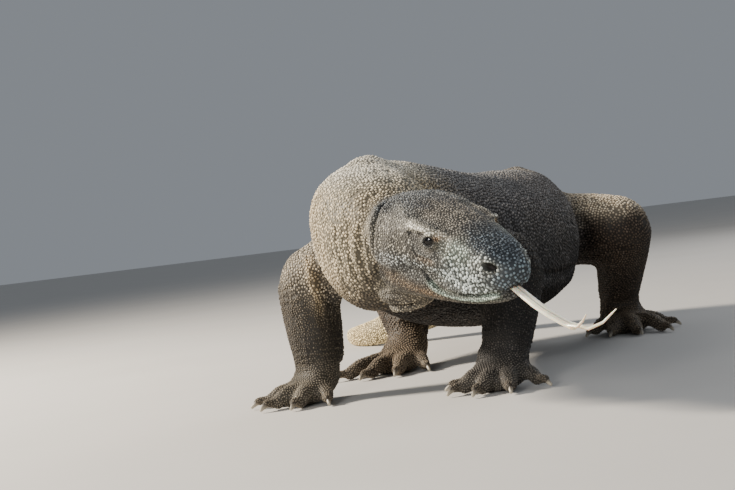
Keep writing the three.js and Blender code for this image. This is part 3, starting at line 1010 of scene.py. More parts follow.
def keep_apart(places, pitch, share):
    """True for the places that stay when each one too close to an earlier one is dropped."""
    one, two = close_pairs(places, pitch.max() * share)
    gap = np.linalg.norm(places[one] - places[two], axis=1)
    clash = gap < share * (pitch[one] + pitch[two]) / 2
    early = np.minimum(one, two)[clash]
    late = np.maximum(one, two)[clash]
    order = np.argsort(late, kind="stable")
    stays = [True] * len(places)
    for first, second in zip(early[order].tolist(), late[order].tolist()):
        if stays[first]:
            stays[second] = False
    return np.array(stays)


def spacing(places):
    """Pitch, normal, lie and stretch at each place on the skin."""
    on_skin, face, weights = onto_skin(places)
    normal = read(normals, face, weights)
    normal /= np.linalg.norm(normal, axis=1)[:, None]
    lie = read(lie_of, face, weights)
    lie -= (lie * normal).sum(axis=1)[:, None] * normal
    lie /= np.maximum(np.linalg.norm(lie, axis=1), 1e-6)[:, None]
    return on_skin, read(pitch_of, face, weights), normal, lie, read(stretch_of, face, weights)


roots, pitch, *_ = spacing(candidates)
stays = keep_apart(roots, pitch, ROW_GAP)
roots = roots[stays]
fill_roots, fill_pitch, *_ = spacing(fills)
everything = np.vstack([roots, fill_roots])
stays = keep_apart(everything, np.r_[pitch[stays], fill_pitch], FILL_GAP)
roots = everything[stays]
print(len(roots), "roots kept", clock())

for _ in range(RELAX_ROUNDS):
    roots, pitch, normal, lie, stretch = spacing(roots)
    one, two = close_pairs(roots, pitch.max() * RELAX_REACH)
    apart = roots[two] - roots[one]
    along = (apart * lie[one]).sum(axis=1)
    squeeze = 1 - 1 / stretch[one]
    felt = apart - (squeeze * along)[:, None] * lie[one]
    felt *= np.sqrt(stretch[one])[:, None]
    gap = np.maximum(np.linalg.norm(felt, axis=1), 1e-6)
    push = np.maximum((pitch[one] + pitch[two]) / 2 * RELAX_GAP - gap, 0) * PUSH / gap
    move = apart * push[:, None]
    for axis in range(3):
        pushed_on = np.bincount(two, move[:, axis], len(roots))
        pushed_back = np.bincount(one, move[:, axis], len(roots))
        roots[:, axis] += pushed_on - pushed_back
roots, pitch, normal, lie, stretch = spacing(roots)
print("relaxed", clock())

# %% [markdown]
# ## Leave bare what is bare
# No scale grows in a nostril, on the ball of an eye, in the crack of the mouth or on a claw. Each of these is
# a distance from something that already has a name, so the roots there are simply dropped.

# %% Drop the roots in openings
TONGUE = [(1, -200, -9), (0, -231, -11), (-3, -258, -15), (-3, -284, -20), (1, -306, -25.5), (6, -325, -30)]
LID_REACH = 17
CLAW_BARE_FROM = 0.62


def almond_of(folded):
    """How far out of the lids' opening points of the folded head are."""
    local = folded - EYE
    return gaze_angle(local / np.maximum(np.linalg.norm(local, axis=1), 1e-6)[:, None])[1]


root_owner = owners(roots)
folded_roots = fold_head(roots)
by_eye = np.linalg.norm(folded_roots - EYE, axis=1) < LID_REACH
bare = by_eye & (almond_of(folded_roots) < 1.18)
bare |= nostril_oval(folded_roots) < 1.28
bare |= near_line(folded_roots, smooth_path(MOUTH_LINE, 24))[0] < 2.1
bare |= near_line(folded_roots, smooth_path(mirrored(GULAR_FOLD, RIGHT), 24))[0] < 1.6
bare |= near_line(to_head(roots), smooth_path(TONGUE[:3], 20))[0] < 6.5
for node, (root, point) in claw_line.items():
    ahead = (point - root)[:2]
    share = (roots - root)[:, :2] @ ahead / (ahead @ ahead)
    bare |= owned_by(root_owner, [node]) & (share > CLAW_BARE_FROM)
kept = ~bare
roots, pitch, normal, lie, stretch, root_owner = (
    values[kept] for values in (roots, pitch, normal, lie, stretch, root_owner)
)
print(len(roots), "scales,", int(bare.sum()), "dropped in openings")

# %% [markdown]
# ## The colours of the hide
# Dust-tan on the neck, charcoal on the back, brown thighs and a pale tail. On the head a brown crown, a
# slate-blue snout top, white beads round the nostril and lips, a cream brow over each eye and a mint lower
# lip. Painting a texture is the usual way. Here every marking is a formula on the skin's points: a part has a
# colour, borders are blurred, and strokes or soft balls add the markings. The scales read the same fields at
# their roots.
# Some fields are painted light and shade, not the hide's own colour: light on the tops of the thighs and
# under the throat fold, partly on the paler top of the neck and trunk, and shade in the folds, the mouth,
# nostrils and lid openings, the armpit, under the belly, low on the flank and on the far foreleg.

# %% Colour fields
HIDE = {
    "head": (0.225, 0.212, 0.180),
    "lower_jaw": (0.100, 0.088, 0.067),
    "neck": (0.430, 0.355, 0.235),
    "trunk": (0.110, 0.100, 0.094),
    "hips": (0.140, 0.124, 0.104),
    "tail_base": (0.200, 0.165, 0.120),
    "tail_middle": (0.670, 0.545, 0.315),
    "tail_tip": (0.380, 0.315, 0.225),
    "upper_arm": (0.290, 0.250, 0.190),
    "forearm": (0.060, 0.048, 0.033),
    "hand": (0.125, 0.102, 0.070),
    "thigh": (0.064, 0.043, 0.028),
    "shank": (0.072, 0.053, 0.037),
    "foot": (0.165, 0.126, 0.084),
    "eye": (0.210, 0.205, 0.180),
    "claw": (0.160, 0.128, 0.090),
}
LIMB_STEMS = LIMB_PARTS["front"] + LIMB_PARTS["hind"]
channels = [{part: colour[channel] for part, colour in HIDE.items()} for channel in range(3)]
hide = np.column_stack([table_over_skin(table, 0.2, 60) for table in channels])
PALE_CHANCE = {"neck": 0.45, "trunk": 0.20, "hips": 0.22, "thigh": 0.28, "shank": 0.15, "upper_arm": 0.35}
pale_chance = table_over_skin(PALE_CHANCE, 0.16, 40)
limb_share = table_over_skin(dict.fromkeys(LIMB_STEMS, 1.0), 0.0, 40)
pale_tint = hide * (1.9 - 0.25 * limb_share)[:, None] + 0.03 - 0.018 * limb_share[:, None]
# centre and half size in the folded head, colour, chance of a pale scale and its colour
FACE_BALLS = {
    "back of the head": ((0, -20, 44), (60, 66, 40), (0.135, 0.138, 0.136), 0.40, (0.34, 0.36, 0.36)),
    "crown": ((0, -112, 58), (44, 56, 22), (0.190, 0.168, 0.138), 0.25, (0.40, 0.36, 0.29)),
    "dark spot": ((16, -62, 60), (12, 22, 16), (0.075, 0.072, 0.070), 0.20, (0.22, 0.22, 0.22)),
    "cheek": ((66, -50, 14), (28, 46, 44), (0.150, 0.136, 0.108), 0.42, (0.56, 0.52, 0.42)),
    "low cheek": ((64, -60, -10), (18, 34, 16), (0.150, 0.150, 0.142), 0.60, (0.52, 0.54, 0.52)),
    "snout top": ((0, -206, 42), (36, 58, 32), (0.078, 0.095, 0.112), 0.34, (0.18, 0.22, 0.255)),
    "upper lip": ((40, -182, -4), (26, 62, 24), (0.158, 0.178, 0.170), 0.82, (0.72, 0.80, 0.77)),
    "snout side": ((42, -162, 27), (16, 30, 14), (0.230, 0.275, 0.235), 0.70, (0.60, 0.69, 0.60)),
    "nostril": ((32, -208, 20), (12, 22, 16), (0.095, 0.103, 0.096), 0.85, (0.68, 0.72, 0.67)),
    "under the eye": ((57, -98, -6), (14, 32, 12), (0.085, 0.090, 0.084), 0.80, (0.66, 0.69, 0.65)),
    "snout tip": ((8, -234, 2), (26, 22, 22), (0.122, 0.148, 0.168), 0.55, (0.22, 0.29, 0.325)),
    "mouth corner": ((50, -92, -20), (14, 36, 12), (0.115, 0.112, 0.100), 0.40, (0.34, 0.34, 0.31)),
}
JAW_LINE = [(56, -66, -40), (50, -95, -44), (38, -128, -46)]
folded = fold_head(points)
head_x = to_head(points)[:, 0]
near_head = np.linalg.norm(folded - (0, -60, -10), axis=1) < 260
on_face = owned_by(found, ["head", "lower_jaw"] + EYE_NODES)


def noise_over(points, size, seed):
    """Soft noise from -1 to 1, with lumps of about that many millimetres."""
    offset = Vector((seed * 17.3, seed * 5.1, seed * 9.7))
    return np.array([noise.noise(Vector(point) / size + offset) for point in points])


def ball(centre, half):
    """1 inside a soft ellipsoid in the folded head, fading to 0 outside it."""
    reach = np.linalg.norm((folded - centre) / half, axis=1)
    return (1 - smooth_step(reach, 0.75, 1.25)) * on_face


def line_mask(path, width, power=2):
    """1 on a painted line, fading to 0 beside it, sooner with a higher power. Both sides have the line."""
    left_path = np.array(path, float)
    left_path[:, 0] = np.abs(left_path[:, 0])
    gap = np.full(len(points), 1e3)
    for side in (LEFT, RIGHT):
        half = np.flatnonzero((head_x * side >= 0) & near_head)
        line = snapped(from_head(mirrored(smooth_path(left_path, 30), side)))
        gap[half] = near_line(points[half], line)[0]
    return np.exp(-((gap / width) ** power))


def paint_colour_and_light(mask, colour, chance=None, tint=None):
    """Paints markings, and painted light and shade, on the skin under a mask, with the chance and colour of
    pale scales there.
    """
    hide[:] += mask[:, None] * (np.array(colour) - hide)
    if chance is not None:
        pale_chance[:] += mask * (chance - pale_chance)
        pale_tint[:] += mask[:, None] * (np.array(tint) - pale_tint)


def on_parts(names, rounds=45):
    """1 on the named parts, fading to 0 across their borders."""
    share = owned_by(found, names).astype(float)[:, None]
    for _ in range(rounds):
        share = neighbour_mean(share, skin_edges, skin_degree)
    return share[:, 0]


mottle = noise_over(points, 60.0, 1)
speckle = noise_over(points, 16.0, 2)
hide *= (1 + 0.22 * mottle + 0.16 * speckle)[:, None]
warmth = noise_over(points, 90.0, 3)[:, None]
hide *= 1 + 0.10 * warmth * np.array([1.0, 0.1, -1.0])
# Paler where the top of the neck and the trunk faces up: partly the animal's paler back, partly painted light
# on the top.
back = smooth_step(normals[:, 2], 0.35, 0.9) * smooth_step(points[:, 2], 290, 335)
paint_colour_and_light(0.55 * back * on_parts(["trunk"]), (0.225, 0.225, 0.222), 0.35, (0.52, 0.53, 0.52))
paint_colour_and_light(0.8 * back * on_parts(["neck"]), (0.730, 0.690, 0.580), 0.5, (0.88, 0.85, 0.76))
for centre, half, colour, chance, tint in FACE_BALLS.values():
    paint_colour_and_light(ball(centre, half), colour, chance, tint)
around_eye = np.exp(-(((np.linalg.norm(folded - EYE, axis=1) - 22) / 10) ** 2)) * on_face
paint_colour_and_light(0.75 * around_eye, (0.120, 0.112, 0.098), 0.35, (0.34, 0.32, 0.28))
before_eye = np.linalg.norm((folded - (45, -136, 29)) / (8, 6, 8), axis=1)
eye_corner = 0.85 * (1 - smooth_step(before_eye, 0.8, 1.5)) * on_face
paint_colour_and_light(eye_corner, (0.400, 0.375, 0.300), 0.4, (0.62, 0.58, 0.48))
paint_colour_and_light(0.6 * line_mask(EYE_POUCH, 2.6), (0.260, 0.262, 0.240), 0.4, (0.46, 0.48, 0.44))
paint_colour_and_light(0.98 * line_mask(BROW_CREST, 4.6, 4), (0.90, 0.84, 0.68), 0.85, (1.0, 0.96, 0.84))
paint_colour_and_light(0.97 * line_mask(BROW_SHADE, 4.1), (0.032, 0.024, 0.018), 0.02, (0.2, 0.15, 0.1))
paint_colour_and_light(0.9 * line_mask([(46, -130, 37.5), (43, -135, 35.5)], 2.6), (0.52, 0.26, 0.09), 0.2, (0.6, 0.4, 0.2))
paint_colour_and_light(0.5 * line_mask([(34, -30, 55), (42, -58, 52)], 4.0), (0.42, 0.39, 0.31), 0.4, (0.5, 0.47, 0.38))
# Painted shade in the creases by the eyes.
for crease in EYE_CREASES:
    paint_colour_and_light(0.8 * line_mask(crease, 1.6), (0.040, 0.038, 0.036), 0.05, (0.2, 0.2, 0.2))
paint_colour_and_light(0.7 * line_mask([(53, -104, 6), (49, -124, 5)], 3.0), (0.34, 0.22, 0.12), 0.4, (0.5, 0.36, 0.2))
pale_chance *= 1 - 0.45 * on_face * np.clip(-1.6 * speckle, 0, 1)
patchy = np.clip(0.5 + 1.1 * speckle, 0, 1)
paint_colour_and_light(ball((58, -40, -44), (30, 52, 26)), (0.078, 0.070, 0.055), 0.30, (0.24, 0.22, 0.17))
orange = 0.8 * patchy * line_mask(JAW_LINE, 7.0)
paint_colour_and_light(orange, (0.37, 0.21, 0.09), 0.4, (0.56, 0.36, 0.18))
ochre = 0.7 * patchy * line_mask([(62, -30, -34), (58, -60, -38)], 12.0)
paint_colour_and_light(ochre, (0.19, 0.13, 0.080), 0.35, (0.42, 0.30, 0.17))
below_mouth = shifted(MOUTH_LINE, (0, 1, -5.5))
paint_colour_and_light(0.97 * line_mask(below_mouth[2:8], 5.0), (0.50, 0.62, 0.51), 0.85, (0.62, 0.74, 0.62))
paint_colour_and_light(0.85 * ball((0, -230, -19), (17, 22, 12)), (0.050, 0.052, 0.050), 0.3, (0.14, 0.15, 0.15))
paint_colour_and_light(ball((0, -75, -85), (60, 80, 26)), (0.240, 0.205, 0.150), 0.3, (0.45, 0.38, 0.27))
# Painted light on the swelling under the throat fold.
paint_colour_and_light(0.7 * line_mask(shifted(GULAR_FOLD, (0, 0, -8)), 4.0), (0.440, 0.380, 0.280), 0.4, (0.62, 0.55, 0.42))
# Painted shade along the cheek fold, the throat fold and the creases of the neck.
for fold, share in zip([CHEEK_FOLD, GULAR_FOLD] + NECK_CREASES, (0.9, 0.95, 0.45, 0.35, 0.35, 0.25)):
    hide *= 1 - share * line_mask(fold, 2.6)[:, None]
lid_area = (np.linalg.norm(folded - EYE, axis=1) < LID_REACH) & on_face
lid_rim = np.exp(-(((almond_of(folded) - 1.42) / 0.16) ** 2)) * (folded[:, 2] < EYE[2] + 5)
paint_colour_and_light(0.7 * lid_rim * lid_area, (0.360, 0.360, 0.330), 0.4, (0.55, 0.55, 0.50))
# Painted shade: the skin inside the lids' opening is nearly black.
opening = lid_area * (1 - smooth_step(almond_of(folded), 1.0, 1.22))
paint_colour_and_light(opening, (0.012, 0.011, 0.010), 0.0, (0.02, 0.02, 0.02))
nostril_rim = np.exp(-(((nostril_oval(folded) - 1.35) / 0.28) ** 2)) * on_face
paint_colour_and_light(0.75 * nostril_rim, (0.46, 0.48, 0.43), 0.7, (0.66, 0.70, 0.64))
# Painted shade in the nostril pits.
nostril_pit_shade = (1 - smooth_step(nostril_oval(folded), 0.9, 1.12)) * on_face
paint_colour_and_light(nostril_pit_shade, (0.034, 0.020, 0.012), 0.0, (0.01, 0.01, 0.01))
# Painted shade in the crack of the mouth.
paint_colour_and_light(line_mask(MOUTH_LINE, 2.0), (0.014, 0.012, 0.011), 0.0, (0.02, 0.02, 0.02))
# Painted shade in the armpit hollow.
armpit_shade = np.exp(-((near_line(points, smooth_path(ARMPIT_HOLLOW, 24))[0] / 16) ** 2))
hide *= 1 - 0.55 * armpit_shade[:, None]
flap = np.exp(-((near_line(points, smooth_path(ARMPIT_FLAP, 24))[0] / 9) ** 2))
paint_colour_and_light(0.8 * flap, (0.420, 0.320, 0.185), 0.4, (0.62, 0.50, 0.32))
belly_shade = on_parts(["trunk", "hips", "neck"], 8) * smooth_step(-normals[:, 2], 0.25, 0.85)
paint_colour_and_light(0.9 * belly_shade, (0.018, 0.011, 0.007), 0.08, (0.09, 0.062, 0.042))
# Painted shade low on the flanks of the trunk and hips, on the skin and its pale scales.
low_flank_shade = on_parts(["trunk", "hips"]) * smooth_step(-points[:, 2], -255, -165)
hide *= 1 - 0.45 * low_flank_shade[:, None]
pale_tint *= 1 - 0.45 * low_flank_shade[:, None]
# Painted light on the upward-facing tops of the thighs, strongest on the left thigh.
thigh_light_share = on_parts(["thigh_left"], 25) + 0.5 * on_parts(["thigh_right"])
lit_thigh_top = thigh_light_share * smooth_step(normals[:, 2], 0.1, 0.7)
paint_colour_and_light(0.95 * lit_thigh_top, (0.680, 0.560, 0.400), 0.55, (0.78, 0.67, 0.50))
# Painted shade over the whole left foreleg.
far_arm_shade = on_parts(["upper_arm_left", "forearm_left", "hand_left"], 30)
paint_colour_and_light(0.85 * far_arm_shade, (0.036, 0.032, 0.030), 0.2, (0.085, 0.076, 0.072))
dusty = smooth_step(-points[:, 2], -42, -6) * owned_by(found, PAW_NODES)
paint_colour_and_light(0.3 * dusty, (0.36, 0.32, 0.26))
for _ in range(2):
    hide = neighbour_mean(hide, skin_edges, skin_degree)
hide = np.clip(hide, 0.004, 0.9)
print("hide painted", clock())

# %% [markdown]
# ## One scale
# A scale is a low dome, closed below so that it is a solid of its own. It starts as a capped circle whose cap
# is extruded upwards and drawn in: with five sides and a flat top for the plain scale of the body, with six
# and a poked top for the finer bead of the head and neck. Tens of thousands of copies are laid out by array
# arithmetic, because one operator call for each would take minutes. Where the skin of a forearm or a wrist
# wrinkles, the scales in the groove are lower, and painted darker as shade in the groove.

# %% Beads
def bead(sides, shoulder, shoulder_height, rounded):
    """Corners, triangles and heights of a dome of radius 1 and height 1."""
    bm = bmesh.new()
    bmesh.ops.create_circle(bm, cap_ends=True, radius=1.0, segments=sides)
    cap = bm.faces[:]
    top = bmesh.ops.extrude_face_region(bm, geom=cap, use_keep_orig=True)["geom"]
    top_verts = [item for item in top if isinstance(item, bmesh.types.BMVert)]
    top_face = [item for item in top if isinstance(item, bmesh.types.BMFace)]
    bmesh.ops.scale(bm, vec=(shoulder, shoulder, 1), verts=top_verts)
    bmesh.ops.translate(bm, vec=(0, 0, shoulder_height), verts=top_verts)
    if rounded:
        poked = bmesh.ops.poke(bm, faces=top_face)["verts"]
        bmesh.ops.translate(bm, vec=(0, 0, 1 - shoulder_height), verts=poked)
    bmesh.ops.triangulate(bm, faces=bm.faces[:])
    bmesh.ops.recalc_face_normals(bm, faces=bm.faces[:])
    bm.verts.ensure_lookup_table()
    corners = np.array([vert.co for vert in bm.verts])
    triangles = np.array([[vert.index for vert in face.verts] for face in bm.faces])
    bm.free()
    return corners, triangles


BEADS = {"fine": bead(6, 0.76, 0.68, True), "plain": bead(5, 0.60, 1.0, False)}
print({name: len(triangles) for name, (corners, triangles) in BEADS.items()}, "triangles to a scale")

# %% Size, colour and place of every scale
SINK = 0.35
ROUNDNESS = {"head": 0.30, "neck": 0.34, "trunk": 0.24, "tail": 0.22, "hand": 0.28, "foot": 0.28}
height_of = table_over_skin(ROUNDNESS, 0.27, 10)
on_skin, face, weights = onto_skin(roots)
height = read(height_of, face, weights) * pitch * rng.uniform(0.85, 1.15, len(roots)) + SINK
one, two = close_pairs(roots, pitch.max() * 1.5)
gap = np.linalg.norm(roots[one] - roots[two], axis=1)
room = np.full(len(roots), 1e9)
np.minimum.at(room, one, gap)
np.minimum.at(room, two, gap)
across = 0.5 * np.clip(0.55 * pitch + 0.5 * room, 0.8 * pitch, 1.1 * pitch)
across *= rng.uniform(0.93, 1.05, len(roots))
across *= 1 + 0.14 * owned_by(root_owner, ["head", "lower_jaw"]) * rng.uniform(-1, 1, len(roots))
across *= 1 + 0.16 * np.clip((read(pale_chance, face, weights) - 0.6) / 0.2, 0, 1)
length_share = np.sqrt(stretch)
scale_colour = read(hide, face, weights)
chance = read(pale_chance, face, weights)
tint = read(pale_tint, face, weights)
pale = rng.random(len(roots)) < chance
uneven = owned_by(root_owner, ["head", "lower_jaw"]) & (tint[:, 0] < 0.85)
least = np.where(uneven, 0.34, 0.62)
mix = (pale * rng.uniform(least, 1.0, len(roots)))[:, None]
scale_colour = scale_colour * (1 - mix) + tint * mix
scale_colour *= rng.uniform(0.78, 1.2, len(roots))[:, None]
groove = np.zeros(len(roots))
for number in np.flatnonzero(owned_by(root_owner, ["forearm_left", "forearm_right"])):
    x, y, z = roots[number]
    groove[number] = 1 - smooth_step(abs(noise.noise(Vector((x / 7, y / 7, z / 40)))), 0.02, 0.16)
for limb in LIMBS.values():
    _, bend, end = np.array(limb["joints"], float)
    above = (roots - end) @ (bend - end) / np.linalg.norm(bend - end)
    wrist = np.flatnonzero((np.linalg.norm(roots - end, axis=1) < 62) & (above > -4))
    wobble = np.array([noise.noise(Vector(root) * 0.04) for root in roots[wrist]])
    ring = (0.5 + 0.5 * np.cos(2 * math.pi * (above[wrist] + 5 * wobble) / 6.6)) ** 2
    band = smooth_step(above[wrist], -4, 6) * (1 - smooth_step(above[wrist], 32, 52))
    groove[wrist] = groove[wrist] * (1 - band) + ring * band
# Painted shade: scales in the wrinkle grooves and the wrist rings are darker.
scale_colour *= (1 - 0.72 * groove)[:, None]
height *= 1 - 0.6 * groove
root_line, root_share, _, root_angle = place_on_lines(roots, root_owner)
beside = np.cross(lie, normal)
spin = rng.uniform(-0.25, 0.25, len(roots))
lie_turned = lie * np.cos(spin)[:, None] + beside * np.sin(spin)[:, None]
beside = np.cross(lie_turned, normal)
print("sizes from", round(2 * across.min(), 1), "to", round(2 * across.max(), 1), "mm across")

# %% Lay the scales out as joined meshes
PATCH = 0.003
MARGIN = 0.004


def hide_places(chosen, names):
    """Places on the unrolled hide: lines side by side along u, and the way round each along v."""
    lengths = {line_names.index(name): lines[name]["length"] for name in names}
    whole = sum(lengths.values())
    offsets = dict(zip(lengths, np.r_[0, np.cumsum(list(lengths.values()))]))
    offset = np.array([offsets.get(number, 0) for number in range(len(line_names))])
    length = np.array([lengths.get(number, 0) for number in range(len(line_names))])
    u = (offset[root_line[chosen]] + root_share[chosen] * length[root_line[chosen]]) / whole
    return MARGIN + (1 - 2 * MARGIN) * np.column_stack([u, root_angle[chosen]])


def scale_mesh(name, chosen, kind, names):
    """One mesh with a scale at each chosen root."""
    corners, triangles = BEADS[kind]
    count = len(chosen)
    half_width = (across / length_share**0.5)[chosen, None, None]
    half_length = (across * length_share**1.5)[chosen, None, None]
    side = beside[chosen, None] * (corners[None, :, 0, None] * half_width)
    long = lie_turned[chosen, None] * (corners[None, :, 1, None] * half_length)
    lift = corners[None, :, 2, None] * height[chosen, None, None] - SINK
    places = roots[chosen, None] + side + long + normal[chosen, None] * lift
    faces = triangles[None] + (np.arange(count) * len(corners))[:, None, None]
    mesh = bpy.data.meshes.new(name)
    mesh.vertices.add(count * len(corners))
    mesh.vertices.foreach_set("co", places.ravel())
    mesh.loops.add(faces.size)
    mesh.loops.foreach_set("vertex_index", faces.ravel().astype(np.int32))
    mesh.polygons.add(faces.size // 3)
    mesh.polygons.foreach_set("loop_start", np.arange(0, faces.size, 3, dtype=np.int32))
    shade_smooth(mesh)
    mesh.update(calc_edges=True)
    # Painted shade and light on each scale: darker towards its base, a little lighter at its top.
    shade = 0.28 + 0.82 * corners[:, 2]
    colour = scale_colour[chosen, None] * shade[None, :, None]
    paint_points(mesh, "hide", colour.reshape(-1, 3))
    uv = hide_places(chosen, names)[:, None] + corners[None, :, :2] * PATCH / 2
    flat = uv.reshape(-1, 2)[faces.ravel()]
    mesh.uv_layers.new(name="OFBake").data.foreach_set("uv", flat.ravel())
    mesh.transform(workshop_to_frame)
    return mesh

# %% [markdown]
# ## Materials
# Hide is dry horn over leather: rough, with a low soft shine on the tops of the scales, and the skin between
# them is painted dark as shade.
# The colour comes from the attribute painted above, so that skin and scales agree, and noise in the shader
# adds what is smaller than a scale. Eyes and tongue are wet, and claws are smoother than hide.

# %% Node helpers
def new_material(name, **settings):
    """A material, its node tree and its Principled shader with the given sockets set."""
    material = bpy.data.materials.new(name)
    material.use_nodes = True
    shader = material.node_tree.nodes["Principled BSDF"]
    for socket, value in settings.items():
        shader.inputs[socket.replace("_", " ")].default_value = value
    return material, material.node_tree, shader


def add_node(tree, kind, links=(), **settings):
    """A node with its settings, and each link (output socket, input name) made."""
    node = tree.nodes.new(kind)
    for key, value in settings.items():
        if key in node.inputs:
            node.inputs[key].default_value = value
        else:
            setattr(node, key, value)
    for output, target in links:
        tree.links.new(output, node.inputs[target])
    return node


def noise_node(tree, scale, detail):
    """Noise in the object's own space."""
    place = add_node(tree, "ShaderNodeTexCoord")
    return add_node(
        tree, "ShaderNodeTexNoise", [(place.outputs["Object"], "Vector")], Scale=scale, Detail=detail
    )


def ranged(tree, grain, low, high):
    """Noise stretched over a range of values."""
    node = add_node(tree, "ShaderNodeMapRange", [(grain.outputs["Fac"], "Value")])
    node.inputs["To Min"].default_value = low
    node.inputs["To Max"].default_value = high
    return node


def paint_with(tree, shader, attribute, tone):
    """Base colour from an attribute of the mesh, lightened and darkened by a tone."""
    paint = add_node(tree, "ShaderNodeAttribute", attribute_name=attribute)
    factors = [(paint.outputs["Color"], 0), (tone.outputs["Result"], 1)]
    lit = add_node(tree, "ShaderNodeVectorMath", factors, operation="MULTIPLY")
    tree.links.new(lit.outputs["Vector"], shader.inputs["Base Color"])


def roughen(tree, shader, grain, low, high):
    """Roughness that follows noise."""
    tree.links.new(ranged(tree, grain, low, high).outputs["Result"], shader.inputs["Roughness"])


def emboss(tree, shader, grain, strength, distance):
    """Relief that follows noise."""
    heights = [(grain.outputs["Fac"], "Height")]
    relief = add_node(tree, "ShaderNodeBump", heights, Strength=strength, Distance=distance)
    tree.links.new(relief.outputs["Normal"], shader.inputs["Normal"])


# %% Hide
def hide_material(name, rough_low, rough_high, bump):
    """Dry scaly hide coloured by the hide attribute."""
    material, tree, shader = new_material(name, Specular_IOR_Level=0.35)
    grain = noise_node(tree, 900.0, 3.0)
    dust = noise_node(tree, 26.0, 4.0)
    tone = ranged(tree, grain, 0.8, 1.18)
    tone.inputs["From Min"].default_value = 0.25
    tone.inputs["From Max"].default_value = 0.75
    paint_with(tree, shader, "hide", tone)
    roughen(tree, shader, dust, rough_low, rough_high)
    emboss(tree, shader, grain, bump, 0.0004)
    return material


HIDES = {
    "head_hide": hide_material("head_hide", 0.34, 0.62, 0.35),
    "body_hide": hide_material("body_hide", 0.48, 0.80, 0.45),
    "limb_hide": hide_material("limb_hide", 0.46, 0.78, 0.45),
    "tail_hide": hide_material("tail_hide", 0.50, 0.80, 0.45),
}

# %% [markdown]
# ## Put the skin and its scales on the frame
# Each piece is placed by its mesh, so that its object stays at the origin. The skin stands for all the solids
# of flesh. The scales ride over it in pieces small enough to keep every triangle when the model is exported.

# %% Skin and scale pieces
def add_piece(mesh, name, material):
    """An object for a finished mesh, riding on the body."""
    obj = bpy.data.objects.new(name, mesh)
    bpy.context.scene.collection.objects.link(obj)
    mesh.materials.clear()
    mesh.materials.append(material)
    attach(obj, "root")
    return obj


# The skin between the scales is painted at about a quarter of the hide's colour, as shade in the gaps.
SKIN_SHADE = 0.26
paint_points(skin_mesh, "hide", hide * SKIN_SHADE)
shade_smooth(skin_mesh)
skin_mesh.transform(workshop_to_frame)
skin = add_piece(skin_mesh, "skin", HIDES["body_hide"])
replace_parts(skin, *FLESH)

limb_lines = {name: [key for key in line_names if key.startswith(name)] for name in LIMBS}
coat = {
    "scales_head": ("head_hide", "fine", ["head"], ["head"] + EYE_NODES),
    "scales_jaw": ("head_hide", "fine", ["head"], ["lower_jaw"]),
    "scales_neck": ("body_hide", "fine", ["spine"], ["neck"]),
    "scales_trunk": ("body_hide", "plain", ["spine"], ["trunk"]),
    "scales_hips": ("body_hide", "plain", ["spine"], ["hips"]),
    "scales_tail": ("tail_hide", "plain", ["spine"], ["tail_base", "tail_middle"]),
    "scales_tail_tip": ("tail_hide", "plain", ["spine"], ["tail_tip"]),
}
for name in LIMBS:
    place, side = name.split("_")
    parts = LIMB_PARTS[place]
    part_names = [f"{part}_{side}" for part in parts]
    part_names += [node for node in CLAW_NODES if node.startswith(f"claw_{parts[2]}_{side}")]
    coat[f"scales_{name}"] = ("limb_hide", "plain", limb_lines[name], part_names)
scale_total = 0
for name, (slot, kind, names, part_names) in coat.items():
    chosen = np.flatnonzero(owned_by(root_owner, part_names))
    mesh = scale_mesh(name, chosen, kind, names)
    add_piece(mesh, name, HIDES[slot])
    scale_total += len(mesh.polygons)
    print(name, len(chosen), "scales", len(mesh.polygons), "triangles")
print("coat:", scale_total, "triangles", clock())

# %% [markdown]
# ## Eyes
# A monitor's eye is nearly all iris, brown so dark that it reads as black until light catches it. The ball is
# a sphere whose pole is turned to the gaze, so that rings of colour follow its own parallels. A clear coat
# stands for the wet cornea.

# %% Eyeballs
def eye_material():
    wet = {"Roughness": 0.16, "Coat_Weight": 0.25, "Coat_Roughness": 0.02, "Specular_IOR_Level": 0.25}
    material, tree, shader = new_material("eye_wet", **wet)
    ring = add_node(tree, "ShaderNodeAttribute", attribute_name="ring")
    fibres = noise_node(tree, 1400.0, 2.0)
    ramp = add_node(tree, "ShaderNodeValToRGB", [(ring.outputs["Fac"], "Fac")])
    stops = [(0.0, (0.001, 0.001, 0.001)), (0.34, (0.001, 0.001, 0.001)), (0.40, (0.014, 0.009, 0.006))]
    stops += [(0.62, (0.020, 0.012, 0.007)), (0.72, (0.004, 0.003, 0.003)), (1.0, (0.010, 0.009, 0.008))]
    while len(ramp.color_ramp.elements) < len(stops):
        ramp.color_ramp.elements.new(0.5)
    for element, (position, colour) in zip(ramp.color_ramp.elements, stops):
        element.position = position
        element.color = (*colour, 1)
    shade = add_node(tree, "ShaderNodeMix", data_type="RGBA", blend_type="MULTIPLY")
    shade.inputs["Factor"].default_value = 0.6
    tree.links.new(ramp.outputs["Color"], shade.inputs["A"])
    tree.links.new(fibres.outputs["Color"], shade.inputs["B"])
    tree.links.new(shade.outputs["Result"], shader.inputs["Base Color"])
    return material


